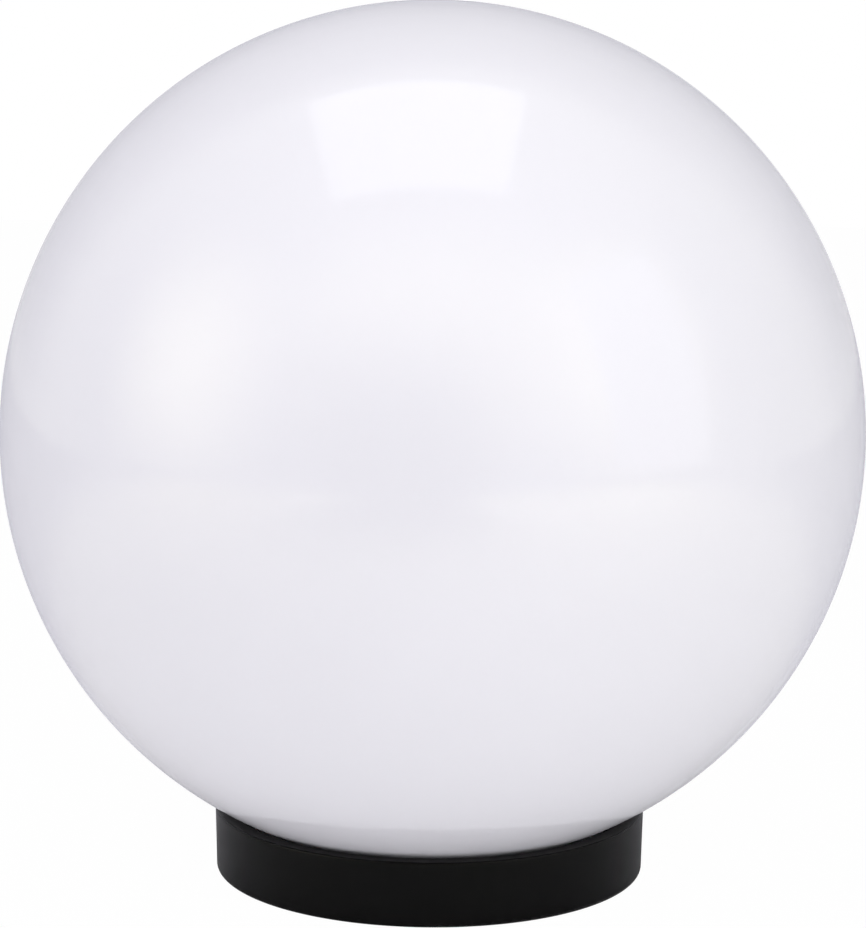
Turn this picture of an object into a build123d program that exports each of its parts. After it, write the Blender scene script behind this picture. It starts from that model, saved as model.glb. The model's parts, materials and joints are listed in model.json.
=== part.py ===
from build123d import *
import os
from math import asin, atan2, cos, degrees, hypot, pi, radians, sin, sqrt, tan

# Garden globe light: an opal globe with a bayonet neck on a low round base, over an E27 lampholder
# and LED bulb. Millimetres, +Z up, origin at the middle of the base's underside.

# ---------------------------------------------------------------- driving sizes
# Globe
globe_diameter = 250.0
globe_wall = 2.6
neck_wall = 2.8
neck_root_radius = 1.5          # fillet where the neck runs into the globe
lug_reach = 3.0                 # how far each bayonet lug stands out of the neck
lug_arc = 18.0                  # degrees
bayonet_count = 3
bayonet_twist = 30.0            # degrees from set down to locked

# Base moulding
base_height = 18.8
rim_width = 4.65
wall_draft = 0.4                # how much the wall draws in from the rim to the foot
rim_outer_fillet = 0.6
rim_inner_fillet = 0.4
foot_fillet = 1.2
foot_width = 4.6
foot_depth = 2.0                # the floor's underside above the ground
floor_thickness = 2.8
moat_width = 6.4                # between the gallery ring and the outer wall
moat_rib_count = 12
moat_rib_thickness = 1.6
moat_rib_height = 5.2
gallery_wall = 2.4
ledge_thickness = 2.2
stop_arc = 3.2                  # degrees of the rib that ends the twist
under_rib_thickness = 1.6
under_rib_recess = 0.7          # how far the underside ribs stay above the ground
hub_radius = 12.0

# Neck seal and mounting gasket
seal_width = 5.2
seal_inner_height = 2.0
seal_lip_chamfer = 0.5
gasket_width = 6.5
gasket_side_gap = 0.4

# Mounting screws (not part of the light) and cable entry
mount_hole_diameter = 5.0
mount_screw_head_radius = 3.8
mount_boss_radius = 5.0
mount_angles = [60.0, 180.0, 300.0]
cable_diameter = 8.3
grommet_bore_diameter = 8.5
grommet_neck_radius = 6.5
grommet_flange_radius = 9.0
grommet_flange_thickness = 1.4
grommet_nose_height = 2.8
grommet_angle = -88.0

# Cord clamp
clamp_angle = -35.0
clamp_bar_width = 8.0
clamp_bar_thickness = 2.6
clamp_post_radius = 2.9
clamp_screw_radius = 1.45
clamp_bite = 0.8                # how far the bar presses into the cable
saddle_height = 0.6

# Terminal block
block_pitch = 9.6
block_pole_width = 6.6
block_length = 15.0
block_height = 11.0
block_web_height = 2.4
block_pad_height = 2.0
block_gap = 2.6                 # from the lampholder
tube_radius = 2.3
tube_bore_radius = 1.5
tube_length = 13.0
tube_screw_spacing = 7.6
tube_screw_radius = 1.2
tube_screw_head_radius = 1.6
fixing_screw_radius = 1.3
fixing_screw_head_radius = 2.1
fixing_screw_head_height = 1.4

# Lampholder
holder_height = 45.0
holder_skirt_height = 19.0      # the wide lower part
holder_shoulder_height = 3.0    # the slope from the wide part to the collar
holder_floor_height = 15.5      # porcelain under the bore
holder_boss_height = 2.2        # the base's posts under it
holder_post_radius = 4.6
holder_screw_offset = 9.0
holder_screw_radius = 1.9
holder_screw_head_radius = 3.3
holder_screw_head_height = 2.4
holder_lip_depth = 2.4          # the seat of the sleeve's flange below the holder's mouth
holder_lip_wall = 2.25          # porcelain round the flange
holder_mouth_fillet = 0.9
sleeve_wall = 0.4
sleeve_flange = 1.3
sleeve_bottom_gap = 6.0         # from the bore's floor to the sleeve
contact_width = 6.0
contact_thickness = 0.5
contact_length = 10.0
contact_foot = 2.0
contact_tip_overrun = 3.0
terminal_width = 6.6
terminal_depth = 6.2
terminal_height = 8.0
terminal_seat_height = 4.0      # above the holder's underside
terminal_angles = [72.0, 108.0]
terminal_screw_radius = 1.4
terminal_screw_head_radius = 2.4
terminal_screw_head_height = 1.8
pocket_wall = 2.8               # porcelain between the bore and a terminal

# Leads
lead_radius = 1.1
ferrule_radius = 0.8
ferrule_length = 6.0

# Bulb, E27 cap and 60 mm envelope
cap_radius = 12.9
cap_wall = 0.5
cap_height = 20.0
contact_rise = 4.5              # the cap's tip above the holder's bore floor
tip_radius = 4.7
tip_height = 1.8
insulator_height = 4.2
insulator_radius = 10.8
insulator_plug_radius = 8.8
insulator_plug_height = 3.0
bulb_radius = 30.0
bulb_housing_height = 39.0
bulb_neck_radius = 14.4
bulb_neck_height = 5.0
bulb_rim_angle = 24.95          # degrees from the dome's widest place down to the rim
bulb_housing_wall = 1.8
bulb_diffuser_wall = 1.2
bulb_spigot_length = 9.0
led_board_gap = 1.8             # between the board and the housing, on the radius
led_board_thickness = 1.6
led_board_ledge = 1.6
led_count = 12
led_ring_share = 0.7            # of the board's radius
led_size = 3.2
led_height = 0.8
driver_width = 16.0
driver_height = 26.0
driver_board_thickness = 1.6
driver_capacitor_radius = 4.0
driver_capacitor_height = 12.0
driver_coil_width = 9.0

# Fits and clearances
rim_gap = 0.46                  # between the globe and the rim, on the radius
seal_gap = 0.3
neck_ledge_gap = 0.5
lug_ring_gap = 0.6
lug_clearance = 0.3
lug_entry_clearance = 3.0       # degrees each side of a lug in its entry gap
neck_floor_gap = 0.2
fixed_fit = 0.05                # screws, sleeves and inserts in their holes
holder_clearance = 0.3
cap_clearance = 0.4
contact_gap = 0.15
layout_gap = 1.2                # from fixed pieces to the neck's way out
mount_head_gap = 0.37

# ---------------------------------------------------------------- places worked out from them
floor_top = foot_depth + floor_thickness

# Radii of the lampholder, from the bulb's cap outwards
sleeve_inner_radius = cap_radius + cap_clearance
sleeve_outer_radius = sleeve_inner_radius + sleeve_wall
sleeve_flange_radius = sleeve_outer_radius + sleeve_flange
bore_radius = sleeve_outer_radius + holder_clearance
terminal_inner_radius = bore_radius + pocket_wall
holder_radius = terminal_inner_radius + terminal_depth
holder_collar_radius = sleeve_flange_radius + fixed_fit + holder_lip_wall

# The wiring lies in the ring between the lampholder and the globe's neck.
block_width = block_pitch + block_pole_width
block_center_x = holder_radius + block_gap + block_width / 2
block_outer_corner = hypot(block_center_x + block_width / 2, block_length / 2)
neck_inner_radius = block_outer_corner + layout_gap
neck_outer_radius = neck_inner_radius + neck_wall
ring_middle = (holder_radius + neck_inner_radius) / 2
mount_circle_radius = neck_inner_radius - mount_screw_head_radius - mount_head_gap

# The gallery ring of the base round the lugs, the moat, then the outer wall.
lug_radius = neck_outer_radius + lug_reach
ledge_inner_radius = neck_outer_radius + neck_ledge_gap
gallery_inner_radius = lug_radius + lug_ring_gap
gallery_outer_radius = gallery_inner_radius + gallery_wall
rim_inner_radius = gallery_outer_radius + moat_width
base_top_radius = rim_inner_radius + rim_width
base_bottom_radius = base_top_radius - wall_draft
foot_inner_radius = base_bottom_radius - foot_width

# The globe sits so deep that it leaves rim_gap at the rim.
globe_radius = globe_diameter / 2
globe_center_z = base_height + sqrt(globe_radius**2 - (rim_inner_radius - rim_gap) ** 2)


def globe_underside(radius):
    """Height of the globe's outer surface at a distance from its axis."""
    return globe_center_z - sqrt(globe_radius**2 - radius**2)


seal_inner_radius = neck_outer_radius + seal_gap
seal_outer_radius = seal_inner_radius + seal_width
gallery_top_z = globe_underside(seal_inner_radius) - seal_gap - seal_inner_height
ledge_bottom_z = gallery_top_z - ledge_thickness
neck_bottom_z = floor_top + neck_floor_gap
lug_top_z = ledge_bottom_z - lug_clearance
entry_half_arc = lug_arc / 2 + lug_entry_clearance

# Lampholder, its sleeve and contact
holder_bottom_z = floor_top + holder_boss_height
holder_top_z = holder_bottom_z + holder_height
bore_floor_z = holder_bottom_z + holder_floor_height
sleeve_seat_z = holder_top_z - holder_lip_depth
terminal_seat_z = holder_bottom_z + terminal_seat_height
terminal_wire_z = terminal_seat_z + terminal_height * 0.45
blind_hole_z = foot_depth + floor_thickness / 3

# Terminal block
block_bottom_z = floor_top + block_pad_height
tube_z = block_bottom_z + block_web_height + fixing_screw_head_height + tube_radius + fixed_fit
pole_offsets = [-block_pitch / 2, block_pitch / 2]

# Cord clamp
clamp_post_top_z = floor_top + saddle_height + cable_diameter - clamp_bite
clamp_bar_length = neck_inner_radius - holder_radius - 2 * layout_gap + 0.2
clamp_screw_offset = clamp_bar_length / 2 - clamp_post_radius

# Bulb
tip_z = bore_floor_z + contact_rise
insulator_z = tip_z + tip_height
cap_z = insulator_z + insulator_height
cap_top_z = cap_z + cap_height
bulb_rim_z = cap_top_z + bulb_housing_height
bulb_rim_radius = bulb_radius * cos(radians(bulb_rim_angle))
bulb_center_z = bulb_rim_z + bulb_radius * sin(radians(bulb_rim_angle))
led_board_radius = bulb_rim_radius - bulb_housing_wall - led_board_gap
led_ring_radius = led_board_radius * led_ring_share
led_board_z = bulb_rim_z - led_board_thickness - led_height


# ---------------------------------------------------------------- small helpers
def turned(*points):
    """Solid of revolution about Z from (radius, height) corners."""
    outline = Polyline(*points, close=True)
    return revolve(Plane.XZ * make_face(outline), Axis.Z)


def turned_face(face):
    """Solid of revolution about Z from a face drawn in radius and height."""
    return revolve(Plane.XZ * face, Axis.Z)


def rounded(face, radius, height, size):
    """Fillet the corner of a face nearest to a radius and height."""
    corner = face.vertices().sort_by_distance((radius, height, 0))[0]
    return fillet(corner, size)


def ring(inner, outer, low, high):
    return turned((inner, low), (outer, low), (outer, high), (inner, high))


def sector(inner, outer, low, high, start, end):
    """Part of a ring between two angles in degrees."""
    face = make_face(Polyline((inner, low), (outer, low), (outer, high), (inner, high), close=True))
    return Rot(0, 0, start) * revolve(Plane.XZ * face, Axis.Z, revolution_arc=end - start)


def post(radius, low, high):
    return Pos(0, 0, low) * Cylinder(radius, high - low, align=(Align.CENTER, Align.CENTER, Align.MIN))


def block(length, width, low, high):
    size_up = high - low
    return Pos(0, 0, low) * Box(length, width, size_up, align=(Align.CENTER, Align.CENTER, Align.MIN))


def at_angle(radius, angle, shape):
    """Move a shape out to a radius and turn it to an angle about Z."""
    return Rot(0, 0, angle) * Pos(radius, 0, 0) * shape


def around(shape, angles):
    return [Rot(0, 0, angle) * shape for angle in angles]


def even_angles(count, first=0.0):
    return [first + 360.0 / count * index for index in range(count)]


def pan_screw(radius, head_radius, head_height, top, bottom):
    """Screw standing on Z: a domed head above height top, and its shank down to bottom."""
    shank = post(radius, bottom, top)
    head = post(head_radius, top, top + head_height)
    head = fillet(head.edges().sort_by(Axis.Z)[-1], head_height * 0.45)
    return shank + head


bayonet_angles = even_angles(bayonet_count, 90.0)


# ---------------------------------------------------------------- globe and seal
def make_globe():
    """Blown shell: a sphere that runs into a straight neck with three bayonet lugs."""
    outer_start = -degrees(atan2(sqrt(globe_radius**2 - neck_outer_radius**2), neck_outer_radius))
    inner_radius = globe_radius - globe_wall
    inner_start = -degrees(atan2(sqrt(inner_radius**2 - neck_inner_radius**2), neck_inner_radius))
    center = (0, globe_center_z)
    outer_arc = CenterArc(center, globe_radius, outer_start, 90 - outer_start)
    inner_arc = CenterArc(center, inner_radius, inner_start, 90 - inner_start)
    wall = [
        outer_arc,
        Line(outer_arc @ 1, inner_arc @ 1),
        inner_arc,
        Line(inner_arc @ 0, (neck_inner_radius, neck_bottom_z)),
        Line((neck_inner_radius, neck_bottom_z), (neck_outer_radius, neck_bottom_z)),
        Line((neck_outer_radius, neck_bottom_z), outer_arc @ 0),
    ]
    face = make_face(wall)
    face = rounded(face, neck_inner_radius, (inner_arc @ 0).Y, neck_root_radius)
    face = rounded(face, neck_outer_radius, (outer_arc @ 0).Y, neck_root_radius)
    globe = turned_face(face)
    lug = sector(neck_outer_radius - 0.5, lug_radius, neck_bottom_z, lug_top_z, -lug_arc / 2, lug_arc / 2)
    nose_edges = lug.edges().filter_by(Axis.Z).group_by(SortBy.DISTANCE)[-1]
    lug = chamfer(nose_edges, lug_reach * 0.4)
    for turned_lug in around(lug, bayonet_angles):
        globe += turned_lug
    return globe


def make_neck_seal():
    """Wedge ring: flat on the gallery, hollow on top to follow the globe."""
    top_arc = CenterArc(
        (0, globe_center_z),
        globe_radius + seal_gap,
        -degrees(atan2(sqrt((globe_radius + seal_gap) ** 2 - seal_inner_radius**2), seal_inner_radius)),
        degrees(asin(seal_outer_radius / (globe_radius + seal_gap)))
        - degrees(asin(seal_inner_radius / (globe_radius + seal_gap))),
    )
    corners = [
        top_arc @ 1,
        (seal_outer_radius, gallery_top_z),
        (seal_inner_radius, gallery_top_z),
        top_arc @ 0,
    ]
    face = make_face([top_arc, Polyline(*corners)])
    inner_top = face.vertices().sort_by_distance((top_arc @ 0))[0]
    face = chamfer(inner_top, neck_root_radius * 0.6)
    outer_bottom = face.vertices().sort_by_distance((seal_outer_radius, gallery_top_z, 0))[0]
    face = chamfer(outer_bottom, seal_lip_chamfer)
    return turned_face(face)


# ---------------------------------------------------------------- base
def base_shell():
    """Outer wall, flat rim, floor and foot ring in one turned profile."""
    face = make_face(
        Polyline(
            (0, foot_depth),
            (foot_inner_radius, foot_depth),
            (foot_inner_radius, 0),
            (base_bottom_radius, 0),
            (base_top_radius, base_height),
            (rim_inner_radius, base_height),
            (rim_inner_radius, floor_top),
            (0, floor_top),
            close=True,
        )
    )
    face = rounded(face, base_bottom_radius, 0, foot_fillet)
    face = rounded(face, base_top_radius, base_height, rim_outer_fillet)
    face = rounded(face, rim_inner_radius, base_height, rim_inner_fillet)
    return turned_face(face)


def bayonet_gallery():
    """Ring wall with three inward ledges, the entry gaps between them and the ribs that stop the twist."""
    pieces = [ring(gallery_inner_radius, gallery_outer_radius, floor_top, gallery_top_z)]
    pitch = 360.0 / bayonet_count
    overlap = gallery_wall / 2
    for angle in bayonet_angles:
        start = angle + entry_half_arc
        end = angle + pitch - entry_half_arc
        ledge_outer = gallery_inner_radius + overlap
        pieces.append(sector(ledge_inner_radius, ledge_outer, ledge_bottom_z, gallery_top_z, start, end))
        stop_end = angle - bayonet_twist - lug_arc / 2 - degrees(fixed_fit * 6 / lug_radius)
        stop_start = stop_end - stop_arc
        pieces.append(sector(ledge_inner_radius, ledge_outer, floor_top, gallery_top_z, stop_start, stop_end))
    return pieces


def moat_ribs():
    """Radial ribs that stiffen the outer wall from the gallery ring."""
    length = rim_inner_radius - gallery_outer_radius + 1.0
    middle = (rim_inner_radius + gallery_outer_radius) / 2
    rib = Pos(middle, 0, 0) * block(length, moat_rib_thickness, floor_top, floor_top + moat_rib_height)
    return around(rib, even_angles(moat_rib_count, 15.0))


def underside_ribs():
    """Gasket groove, hub, screw bosses and the ribs that join them under the floor."""
    groove_radius = foot_inner_radius - gasket_width - 2 * gasket_side_gap
    low = under_rib_recess
    pieces = [
        ring(groove_radius - under_rib_thickness, groove_radius, low, foot_depth),
        ring(hub_radius - under_rib_thickness, hub_radius, low, foot_depth),
    ]
    rib_start = hub_radius - under_rib_thickness / 2
    rib_end = groove_radius - under_rib_thickness / 2
    rib = block(rib_end - rib_start, under_rib_thickness, low, foot_depth)
    rib = Pos((rib_start + rib_end) / 2, 0, 0) * rib
    pieces += around(rib, mount_angles + [0.0, 120.0, 240.0])
    boss = at_angle(mount_circle_radius, 0, post(mount_boss_radius, 0, foot_depth))
    pieces += around(boss, mount_angles)
    return pieces


def inner_bosses():
    """Posts and pads on the floor for the lampholder, terminal block and cord clamp."""
    pieces = []
    holder_post = post(holder_post_radius, floor_top, holder_bottom_z)
    for side in (-1, 1):
        pieces.append(Pos(side * holder_screw_offset, 0, 0) * holder_post)
    pad = block(block_width, block_length * 0.6, floor_top, block_bottom_z)
    pieces.append(Pos(block_center_x, 0, 0) * pad)
    for offset in (-clamp_screw_offset, clamp_screw_offset):
        clamp_post = post(clamp_post_radius, floor_top, clamp_post_top_z)
        pieces.append(at_angle(ring_middle + offset, clamp_angle, clamp_post))
    saddle_length = 2 * (clamp_screw_offset - clamp_post_radius) + 1.0
    saddle = block(saddle_length, clamp_bar_width * 0.4, floor_top, floor_top + saddle_height)
    pieces.append(at_angle(ring_middle, clamp_angle, saddle))
    return pieces


def base_holes():
    """Mounting holes, cable entry and the blind holes for the inner screws."""
    mount_hole = at_angle(mount_circle_radius, 0, post(mount_hole_diameter / 2, -1, floor_top + 1))
    holes = around(mount_hole, mount_angles)
    entry = post(grommet_neck_radius + fixed_fit, -1, floor_top + 1)
    holes.append(at_angle(ring_middle, grommet_angle, entry))
    for side in (-1, 1):
        pilot = post(holder_screw_radius + fixed_fit, blind_hole_z, holder_bottom_z + 1)
        holes.append(Pos(side * holder_screw_offset, 0, 0) * pilot)
    block_pilot = post(fixing_screw_radius + fixed_fit, blind_hole_z, block_bottom_z + 1)
    holes.append(Pos(block_center_x, 0, 0) * block_pilot)
    for offset in (-clamp_screw_offset, clamp_screw_offset):
        pilot = post(clamp_screw_radius + fixed_fit, floor_top, clamp_post_top_z + 1)
        holes.append(at_angle(ring_middle + offset, clamp_angle, pilot))
    flange_room = post(grommet_flange_radius + layout_gap / 2, -1, foot_depth)
    holes.append(at_angle(ring_middle, grommet_angle, flange_room))
    return holes


def make_base():
    """The black moulding: everything above is one piece of plastic."""
    base = base_shell()
    for piece in bayonet_gallery() + moat_ribs() + underside_ribs() + inner_bosses():
        base += piece
    for hole in base_holes():
        base -= hole
    return base


def make_mounting_gasket():
    outer = foot_inner_radius - gasket_side_gap
    return ring(outer - gasket_width, outer, 0, foot_depth)


def make_cable_grommet():
    """Two flanges round the floor's edge, and a tapered nose that closes on the cable."""
    bore = grommet_bore_diameter / 2
    nose_z = floor_top + grommet_flange_thickness
    solid = turned(
        (bore, foot_depth - grommet_flange_thickness),
        (grommet_flange_radius, foot_depth - grommet_flange_thickness),
        (grommet_flange_radius, foot_depth),
        (grommet_neck_radius, foot_depth),
        (grommet_neck_radius, floor_top),
        (grommet_flange_radius, floor_top),
        (grommet_flange_radius - 0.6, nose_z),
        (grommet_neck_radius, nose_z),
        (bore + 1.2, nose_z + grommet_nose_height),
        (bore, nose_z + grommet_nose_height),
    )
    return at_angle(ring_middle, grommet_angle, solid)


# ---------------------------------------------------------------- cord clamp
def make_cord_clamp_bar():
    """Bar with round ends and a saddle that presses the cable down."""
    high = clamp_post_top_z + clamp_bar_thickness
    bar = block(2 * clamp_screw_offset, clamp_bar_width, clamp_post_top_z, high)
    for offset in (-clamp_screw_offset, clamp_screw_offset):
        bar += Pos(offset, 0, 0) * post(clamp_bar_width / 2, clamp_post_top_z, high)
    reach = clamp_bar_length / 2 + fixed_fit * 10
    bar &= block(2 * reach, 2 * clamp_bar_width, clamp_post_top_z, high)
    cable_z = floor_top + saddle_height + cable_diameter / 2
    cable = Pos(0, 0, cable_z) * Rot(90, 0, 0) * Cylinder(cable_diameter / 2, 3 * clamp_bar_width)
    bar -= cable
    for offset in (-clamp_screw_offset, clamp_screw_offset):
        bar -= Pos(offset, 0, 0) * post(clamp_screw_radius + fixed_fit, clamp_post_top_z - 1, high + 1)
    return at_angle(ring_middle, clamp_angle, bar)


def make_cord_clamp_screws():
    top = clamp_post_top_z + clamp_bar_thickness
    head_radius = clamp_post_radius - fixed_fit
    screw = pan_screw(clamp_screw_radius, head_radius, clamp_screw_radius, top, floor_top + 1.0)
    screws = [Pos(offset, 0, 0) * screw for offset in (-clamp_screw_offset, clamp_screw_offset)]
    return Compound([at_angle(ring_middle, clamp_angle, screw) for screw in screws])


# ---------------------------------------------------------------- terminal block
def make_terminal_block_body():
    """Two round-topped poles on a low web, with the screw holes over each tube."""
    web = block(block_width, block_length, block_bottom_z, block_bottom_z + block_web_height)
    body = fillet(web.edges().filter_by(Axis.Z), 1.0)
    for offset in pole_offsets:
        pole = block(block_pole_width, block_length, block_bottom_z, block_bottom_z + block_height)
        top_edges = pole.edges().filter_by(Axis.Y).group_by(Axis.Z)[-1]
        pole = fillet(top_edges, block_pole_width * 0.3)
        body += Pos(offset, 0, 0) * pole
    for offset in pole_offsets:
        bore = Rot(90, 0, 0) * Cylinder(tube_radius + fixed_fit, tube_length + 2 * fixed_fit)
        mouth = Rot(90, 0, 0) * Cylinder(tube_bore_radius, block_length + 2)
        body -= Pos(offset, 0, tube_z) * bore
        body -= Pos(offset, 0, tube_z) * mouth
        for spot in (-tube_screw_spacing / 2, tube_screw_spacing / 2):
            well = post(tube_screw_head_radius + fixed_fit, tube_z, block_bottom_z + block_height + 1)
            body -= Pos(offset, spot, 0) * well
    body -= post(fixing_screw_radius + fixed_fit, block_bottom_z - 1, block_bottom_z + block_height)
    web_top = block_bottom_z + block_web_height
    head_room = post(fixing_screw_head_radius + fixed_fit, web_top, block_bottom_z + block_height + 1)
    body -= head_room
    return Pos(block_center_x, 0, 0) * body


def make_terminal_block_tubes():
    """Brass tubes, bored for the wire and tapped from above for the two clamping screws."""
    tubes = []
    for offset in pole_offsets:
        tube = Cylinder(tube_radius, tube_length) - Cylinder(tube_bore_radius, tube_length + 2)
        tube = Rot(90, 0, 0) * tube
        for spot in (-tube_screw_spacing / 2, tube_screw_spacing / 2):
            tube -= Pos(0, spot, 0) * post(tube_screw_radius + fixed_fit, 0, tube_radius + 1)
        tubes.append(Pos(block_center_x + offset, 0, tube_z) * tube)
    return Compound(tubes)


def make_terminal_block_screws():
    """Grub screws with slim heads, down on the wires."""
    screws = []
    for offset in pole_offsets:
        for spot in (-tube_screw_spacing / 2, tube_screw_spacing / 2):
            low = tube_z + ferrule_radius + fixed_fit
            neck = tube_z + tube_radius + fixed_fit
            screw = post(tube_screw_radius, low, neck)
            screw += post(tube_screw_head_radius, neck, block_bottom_z + block_height - tube_screw_radius)
            screws.append(Pos(block_center_x + offset, spot, 0) * screw)
    return Compound(screws)


def make_terminal_block_fixing_screw():
    top = block_bottom_z + block_web_height
    low = blind_hole_z + holder_clearance
    screw = pan_screw(fixing_screw_radius, fixing_screw_head_radius, fixing_screw_head_height, top, low)
    return Pos(block_center_x, 0, 0) * screw


# ---------------------------------------------------------------- lampholder
def make_lampholder_body():
    """Porcelain holder: wide skirt with terminal pockets, collar, and the stepped bore for the sleeve."""
    skirt_top = holder_bottom_z + holder_skirt_height
    collar_bottom = skirt_top + holder_shoulder_height
    flange_radius = sleeve_flange_radius + fixed_fit
    face = make_face(
        Polyline(
            (0, holder_bottom_z),
            (holder_radius, holder_bottom_z),
            (holder_radius, skirt_top),
            (holder_collar_radius, collar_bottom),
            (holder_collar_radius, holder_top_z),
            (flange_radius, holder_top_z),
            (flange_radius, sleeve_seat_z),
            (bore_radius, sleeve_seat_z),
            (bore_radius, bore_floor_z),
            (0, bore_floor_z),
            close=True,
        )
    )
    face = rounded(face, holder_collar_radius, holder_top_z, holder_mouth_fillet)
    face = rounded(face, holder_radius, skirt_top, holder_mouth_fillet)
    body = turned_face(face)
    pocket_depth = holder_radius + 1 - terminal_inner_radius
    pocket_width = terminal_width + 2 * holder_clearance
    pocket = block(pocket_depth, pocket_width, terminal_seat_z, collar_bottom + 1)
    pocket = Pos(terminal_inner_radius + pocket_depth / 2, 0, 0) * pocket
    for angle in terminal_angles:
        body -= Rot(0, 0, angle) * pocket
    for side in (-1, 1):
        through = post(holder_screw_radius + fixed_fit, holder_bottom_z - 1, bore_floor_z + 1)
        seat_z = bore_floor_z - holder_screw_head_height
        head_room = post(holder_screw_head_radius + holder_clearance, seat_z, bore_floor_z + 1)
        body -= Pos(side * holder_screw_offset, 0, 0) * (through + head_room)
    return body


def make_lampholder_screws():
    seat_z = bore_floor_z - holder_screw_head_height
    low = blind_hole_z + holder_clearance
    screw = pan_screw(holder_screw_radius, holder_screw_head_radius, holder_screw_head_height, seat_z, low)
    return Compound([Pos(side * holder_screw_offset, 0, 0) * screw for side in (-1, 1)])


def make_lampholder_shell():
    """Sleeve that takes the cap, hung from a flange on the holder's inner step."""
    low = bore_floor_z + sleeve_bottom_gap
    return turned(
        (sleeve_inner_radius, low),
        (sleeve_outer_radius, low),
        (sleeve_outer_radius, sleeve_seat_z),
        (sleeve_flange_radius, sleeve_seat_z),
        (sleeve_flange_radius, sleeve_seat_z + sleeve_wall),
        (sleeve_inner_radius, sleeve_seat_z + sleeve_wall),
    )


def make_lampholder_contact():
    """Spring leaf: a short foot on the bore's floor, a slope up to the middle and a turned-down tip."""
    top = tip_z - contact_gap
    rise = top - contact_thickness - bore_floor_z
    leaf = [
        (contact_length + contact_foot, bore_floor_z),
        (contact_length, bore_floor_z),
        (1.0, bore_floor_z + rise),
        (-1.0, bore_floor_z + rise),
        (-contact_tip_overrun, bore_floor_z + rise - 1.0),
        (-contact_tip_overrun, bore_floor_z + rise - 1.0 + contact_thickness),
        (-1.0, top),
        (1.0, top),
        (contact_length, bore_floor_z + contact_thickness),
        (contact_length + contact_foot, bore_floor_z + contact_thickness),
    ]
    profile = make_face(Polyline(*leaf, close=True))
    strip = extrude(Plane.YZ * profile, amount=contact_width / 2, both=True)
    return strip


def make_lampholder_terminals():
    """Brass blocks in the pockets, bored sideways for the wire and tapped from above."""
    top = terminal_seat_z + terminal_height
    terminal = Pos(terminal_depth / 2, 0, 0) * block(terminal_depth, terminal_width, terminal_seat_z, top)
    wire_hole = Pos(0, 0, terminal_wire_z) * Rot(0, 90, 0) * Cylinder(tube_bore_radius, terminal_depth * 3)
    terminal -= wire_hole
    tapped_hole = post(terminal_screw_radius + fixed_fit, terminal_wire_z, top + 1)
    terminal -= Pos(terminal_depth / 2, 0, 0) * tapped_hole
    return Compound([at_angle(terminal_inner_radius, angle, terminal) for angle in terminal_angles])


def make_lampholder_terminal_screws():
    screw = pan_screw(
        terminal_screw_radius,
        terminal_screw_head_radius,
        terminal_screw_head_height,
        terminal_seat_z + terminal_height + holder_clearance,
        terminal_wire_z + ferrule_radius + fixed_fit,
    )
    middle = terminal_inner_radius + terminal_depth / 2
    return Compound([at_angle(middle, angle, screw) for angle in terminal_angles])


# ---------------------------------------------------------------- leads
def lead_end(angle, radius):
    """Point at a terminal's height on its radial line."""
    return (radius * cos(radians(angle)), radius * sin(radians(angle)), terminal_wire_z)


lead_start_y = block_length / 2
terminal_face_radius = terminal_inner_radius + terminal_depth
neutral_route = [
    (block_center_x + pole_offsets[0], lead_start_y, tube_z),
    (block_center_x + pole_offsets[0], lead_start_y + 7.7, tube_z),
    (22.8, 22.0, 13.3),
    (17.0, 28.9, 13.9),
    lead_end(terminal_angles[0], 30.0),
    lead_end(terminal_angles[0], terminal_face_radius),
]
live_route = [
    (block_center_x + pole_offsets[1], lead_start_y, tube_z),
    (block_center_x + pole_offsets[1], lead_start_y + 6.5, tube_z),
    (33.0, 22.4, 13.3),
    (22.4, 30.4, 13.9),
    (10.2, 35.2, 14.6),
    (-1.8, 36.0, 14.9),
    lead_end(terminal_angles[1], 32.5),
    lead_end(terminal_angles[1], terminal_face_radius),
]


def lead_radii(route):
    """Radius of each bend: 0.45 of the shorter run over the tangent of half the turn."""
    radii = []
    for index in range(1, len(route) - 1):
        before = Vector(*route[index]) - Vector(*route[index - 1])
        after = Vector(*route[index + 1]) - Vector(*route[index])
        half_turn = radians(before.get_angle(after)) / 2
        radii.append(0.45 * min(before.length, after.length) / tan(half_turn))
    return radii


def make_lead(route, label):
    """Insulated wire swept along straight runs joined by tangent arcs."""
    radii = lead_radii(route)
    path = FilletPolyline(*route, radius=radii)
    section = Plane(origin=path @ 0, z_dir=path % 0) * Circle(lead_radius)
    lead = sweep(section, path=path)
    ideal = pi * lead_radius**2 * path.length
    print(label, "radii", [round(radius, 1) for radius in radii], "length", round(path.length, 1))
    print(label, "volume over section times length", round(lead.volume / ideal, 4))
    return lead


def make_lead_ferrules():
    """Crimped sleeve on each bare end, inside the tubes and terminals."""
    sleeve = Cylinder(ferrule_radius, ferrule_length, align=(Align.CENTER, Align.CENTER, Align.MAX))
    ferrules = []
    for offset in pole_offsets:
        ferrules.append(Pos(block_center_x + offset, lead_start_y, tube_z) * Rot(-90, 0, 0) * sleeve)
    depth = terminal_depth - fixed_fit
    short = Cylinder(ferrule_radius, depth, align=(Align.CENTER, Align.CENTER, Align.MAX))
    inward = Pos(0, 0, terminal_wire_z) * Rot(0, 90, 0) * short
    ferrules += [at_angle(terminal_face_radius, angle, inward) for angle in terminal_angles]
    return Compound(ferrules)


# ---------------------------------------------------------------- bulb
def make_bulb_centre_contact():
    """Solder tip, slightly domed underneath."""
    face = make_face(
        Polyline((0, tip_z), (tip_radius * 0.5, tip_z), (tip_radius, tip_z + 0.6), (tip_radius, insulator_z),
                 (0, insulator_z), close=True)
    )
    return turned_face(face)


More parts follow.
